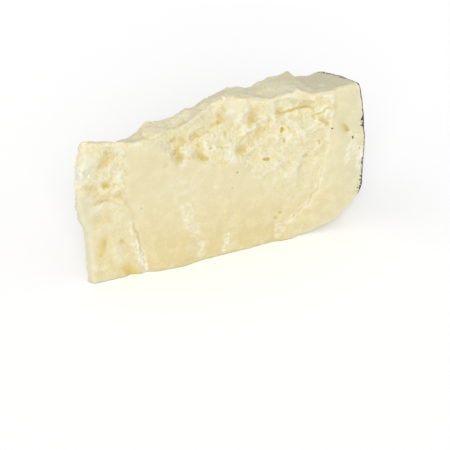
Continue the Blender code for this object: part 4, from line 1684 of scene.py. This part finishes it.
    def refine(self, obj: bpy.types.Object) -> None:
        """Breaks the surface further on a finer mesh.

        Args:
            obj: The chunk.
        """
        self.even(obj, "REMESH", mode="VOXEL", voxel_size=self.fine_voxel)
        mesh = obj.data
        points = neighbour_mean(mesh, read_vectors(mesh.vertices, "co"), self.even_passes)
        write_points(mesh, points)
        normals = soft_normals(mesh, self.fine_normal_passes)
        share = self.form.crag_share(points + self.form.warp(points), normals)
        bulge = ((points - neighbour_mean(mesh, points, self.edge_passes)) * normals).sum(axis=1) / MM
        share = share * (1.0 + self.edge_crumble * smooth_step(bulge, *self.edge_bulge))
        depth = self.fine.depth(points, normals, share, bulge, self.rind_share(points))
        write_points(mesh, points - normals * depth[:, None])

    def simplify(self, obj: bpy.types.Object) -> None:
        """Brings the mesh down to the triangles that carry its shape.

        Args:
            obj: The chunk.
        """
        obj.data.calc_loop_triangles()
        ratio = min(1.0, self.triangles / len(obj.data.loop_triangles))
        self.even(obj, "DECIMATE", ratio=ratio, use_collapse_triangulate=True)

    def trim_base(self, obj: bpy.types.Object) -> None:
        """Cuts the skirt off along the flat base.

        Args:
            obj: The chunk.
        """
        solid = bmesh.new()
        solid.from_mesh(obj.data)
        cut_away(solid, (0.0, 0.0, 0.0), (0.0, 0.0, -1.0))
        bmesh.ops.dissolve_degenerate(solid, edges=solid.edges[:], dist=self.shortest)
        bmesh.ops.triangulate(solid, faces=solid.faces[:])
        solid.to_mesh(obj.data)
        solid.free()

    def mark(self, obj: bpy.types.Object) -> None:
        """Gives the mesh the values that its materials read, and lays the rind's faces.

        Args:
            obj: The chunk.
        """
        mesh = obj.data
        points = read_vectors(mesh.vertices, "co")
        normals = soft_normals(mesh, self.fine_normal_passes)
        broad = soft_normals(mesh, self.hollow_passes)
        back = smooth_step(broad[:, 1], *self.form.back_facing)
        mean = neighbour_mean(mesh, points, self.hollow_passes)
        # Dents take painted shade by how far each point lies below its neighbours
        dents = self.dent_share * (((mean - points) * normals).sum(axis=1) / MM)
        lean = 0.5 * (neighbour_mean(mesh, normals, self.hollow_passes)[:, 2] + normals[:, 2])
        left = smooth_step(points[:, 0] / MM, *self.rim_left)
        # The top's front rim is painted in shade
        rim = eased_line(points[:, 0] / MM, self.rim_shading)
        rim = rim * smooth_step(lean, *self.rim_start) * smooth_step(lean, *self.rim_end)
        upward = smooth_step(lean + self.rim_reach * left, *self.top_lean)
        upward *= smooth_step(points[:, 2] / MM - self.form.top_height(points), *self.top_skin)
        lumps = smooth_step(self.fine.lump(points, normals), *self.lump_rise)
        dents = dents * (1.0 - self.top_dents * upward)
        values = {
            Spot.CRAG: self.form.crag_share(points, broad) * (1.0 - self.back_plainness * back),
            Spot.HOLLOW: dents + self.hollow_share * self.form.hollow_share(points),
            Spot.CRUMBLY: self.fine.crumbly(points, normals),
            Spot.PALE: np.maximum(
                self.lump_paleness * lumps, self.fine.deepest(self.fine.pale, points, normals)
            ),
            Spot.BENEATH: self.wheel.beneath(points),
            Spot.LINE: self.line_reach(points, normals),
            Spot.PAINTED_SHADE: self.fine.deepest(self.fine.painted_shades, points, normals),
            Spot.SPECK: self.fine.deepest(self.fine.specks, points, normals),
            Spot.UPWARD: upward,
            # The top's painted shade: darker towards the rind and on its front rim
            Spot.TOP_SHADE: np.maximum(rim, eased_line(points[:, 0] / MM, self.top_shading)),
        }
        for spot, value in values.items():
            attribute = mesh.attributes.new(spot.value, "FLOAT", "POINT")
            attribute.data.foreach_set("value", value.astype(np.float32))
        centres = read_vectors(mesh.polygons, "center")
        rind = (self.wheel.beneath(centres) < self.rind_face) & (centres[:, 2] > self.rind_lowest * MM)
        mesh.polygons.foreach_set("material_index", rind.astype(np.int32))

    def build(self) -> bpy.types.Object:
        """Carves, breaks and marks the chunk.

        Returns:
            The chunk, in the frame of its solid.
        """
        obj = self.block()
        self.break_open(obj)
        self.refine(obj)
        self.simplify(obj)
        self.trim_base(obj)
        self.mark(obj)
        low, high = np.array(solid_box)
        points = np.clip(read_vectors(obj.data.vertices, "co") - CENTRE, low, high)
        write_points(obj.data, points)
        obj.data.shade_smooth()
        return obj

    def dress(self, obj: bpy.types.Object, paste: bpy.types.Material, rind: bpy.types.Material) -> None:
        """Lays the finishes on and ties the chunk to its solid.

        Args:
            obj: The chunk.
            paste: The paste's material.
            rind: The rind's material.
        """
        kept = np.empty(len(obj.data.polygons), dtype=np.int32)
        obj.data.polygons.foreach_get("material_index", kept)
        obj.data.materials.clear()
        obj.data.materials.append(paste)
        obj.data.materials.append(rind)
        obj.data.polygons.foreach_set("material_index", kept)
        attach(obj, "root")
        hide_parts("cheese_chunk")


@dataclass
class Crumbs:
    """The crumbs that cling to the chunk where it has crumbled, as one mesh."""

    count: int = 90
    radius: tuple = (0.22, 0.62)
    proud: float = 0.35  # how far their middles stand out, as a share of their radius
    squash: tuple = (0.55, 1.0)
    jag: float = 0.45  # how uneven they are, as a share of their radius
    jag_size: float = 0.5
    crag_chance: float = 0.06  # how often they cling to crags, against crumbled streaks
    lowest: float = 1.5
    seed: int = 17

    def build(self, chunk: bpy.types.Object) -> bpy.types.Object:
        """Strews the crumbs over the chunk, in its frame.

        Args:
            chunk: The marked chunk.

        Returns:
            The crumbs, in the chunk's frame.
        """
        mesh = chunk.data
        points = read_vectors(mesh.vertices, "co")
        normals = read_vectors(mesh.vertex_normals, "vector")
        chance = self.values(mesh, Spot.CRUMBLY) ** 2 + self.crag_chance * self.values(mesh, Spot.CRAG) ** 3
        chance = chance * (points[:, 2] > self.lowest * MM)
        draws = np.random.default_rng(self.seed)
        picked = draws.choice(len(points), self.count, replace=False, p=chance / chance.sum())
        solid = bmesh.new()
        low, high = self.radius
        for number in picked:
            radius = (low + (high - low) * draws.random() ** 2) * MM
            grown = bmesh.ops.create_icosphere(solid, subdivisions=2, radius=radius)["verts"]
            squash = draws.uniform(*self.squash, 3)
            middle = points[number] + normals[number] * radius * self.proud
            shape = np.array([vert.co for vert in grown]) * squash
            shape += self.jag * radius * drift(shape + middle, self.jag_size * MM, self.seed)
            for vert, place in zip(grown, np.clip(shape + middle, *np.array(solid_box))):
                vert.co = place
        made = bpy.data.objects.new("crumbs", ordered_mesh(solid, "crumbs"))
        solid.free()
        bpy.context.scene.collection.objects.link(made)
        made.data.shade_smooth()
        return made

    def values(self, mesh: bpy.types.Mesh, spot: Spot) -> Array:
        """Reads a value that the mesh carries.

        Args:
            mesh: The mesh.
            spot: Which value.

        Returns:
            The value at each point, no less than 0.
        """
        found = np.empty(len(mesh.vertices), dtype=np.float32)
        mesh.attributes[spot.value].data.foreach_get("value", found)
        return np.maximum(found, 0.0).astype(float)

    def dress(self, obj: bpy.types.Object, crumb: bpy.types.Material) -> None:
        """Lays the finish on and lets the crumbs ride with the chunk.

        Args:
            obj: The crumbs.
            crumb: Their material.
        """
        obj.data.materials.append(crumb)
        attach(obj, "root")


@dataclass
class Studio:
    """The pale floor, the soft light and the camera."""

    camera_place: tuple = (-0.23322, -0.548575, 0.355)
    camera_target: tuple = (0.01118, 0.008025, 0.0)
    lens: float = 100.0
    floor_half: float = 4.0
    floor_cells: int = 8
    floor_finish: Finish = Finish("floor", 0.9, 0.1)
    floor_colour: tuple = (0.985, 0.985, 0.985, 1.0)
    sky: float = 0.72
    sky_colour: tuple = (1.0, 1.0, 1.0, 1.0)
    key_place: tuple = (-0.62, -1.45, 0.85)
    key_target: tuple = (0.0, 0.0, 0.04)
    key_spread: float = math.radians(35.0)
    key_power: float = 2.05

    def aim(self, obj: bpy.types.Object, place: tuple, target: tuple) -> None:
        """Puts the object at a place and turns it to a target.

        Args:
            obj: A light or camera.
            place: Where it stands.
            target: What it looks at.
        """
        obj.location = place
        obj.rotation_euler = (Vector(target) - Vector(place)).to_track_quat("-Z", "Y").to_euler()
        bpy.context.scene.collection.objects.link(obj)

    def build(self) -> None:
        """Makes the floor, the world, the light and the camera."""
        solid = bmesh.new()
        cells = self.floor_cells
        bmesh.ops.create_grid(solid, x_segments=cells, y_segments=cells, size=self.floor_half)
        mesh = bpy.data.meshes.new("floor")
        solid.to_mesh(mesh)
        solid.free()
        floor = bpy.data.objects.new("floor", mesh)
        bpy.context.scene.collection.objects.link(floor)
        surface, _, shader = self.floor_finish.start()
        shader.inputs["Base Color"].default_value = self.floor_colour
        mesh.materials.append(surface)
        world = bpy.data.worlds.new("studio")
        world.use_nodes = True
        light = world.node_tree.nodes["Background"]
        light.inputs["Color"].default_value = self.sky_colour
        light.inputs["Strength"].default_value = self.sky
        bpy.context.scene.world = world
        key = bpy.data.lights.new("key", "SUN")
        key.angle = self.key_spread
        key.energy = self.key_power
        self.aim(bpy.data.objects.new("key", key), self.key_place, self.key_target)
        camera = bpy.data.cameras.new("camera")
        camera.lens = self.lens
        view = bpy.data.objects.new("camera", camera)
        self.aim(view, self.camera_place, self.camera_target)
        bpy.context.scene.camera = view
        bpy.context.scene.view_settings.view_transform = "Standard"


def main() -> None:
    """Builds the pieces in order and reports each."""
    logging.basicConfig(level=logging.INFO, format="%(name)s: %(message)s")
    Studio().build()
    grain = Grain().group()
    rind_line = RindLine().group()
    chunk = Chunk(Wheel(), Form(), FineForm())
    piece = chunk.build()
    chunk.dress(piece, PasteFinish().material(grain, rind_line), RindFinish().material(rind_line))
    LOG.info("%s: %d triangles", piece.name, len(piece.data.polygons))
    crumbs = Crumbs()
    strewn = crumbs.build(piece)
    crumbs.dress(strewn, CrumbFinish().material(grain))
    LOG.info("%s: %d triangles", strewn.name, len(strewn.data.polygons))


if __name__ == "__main__":
    main()
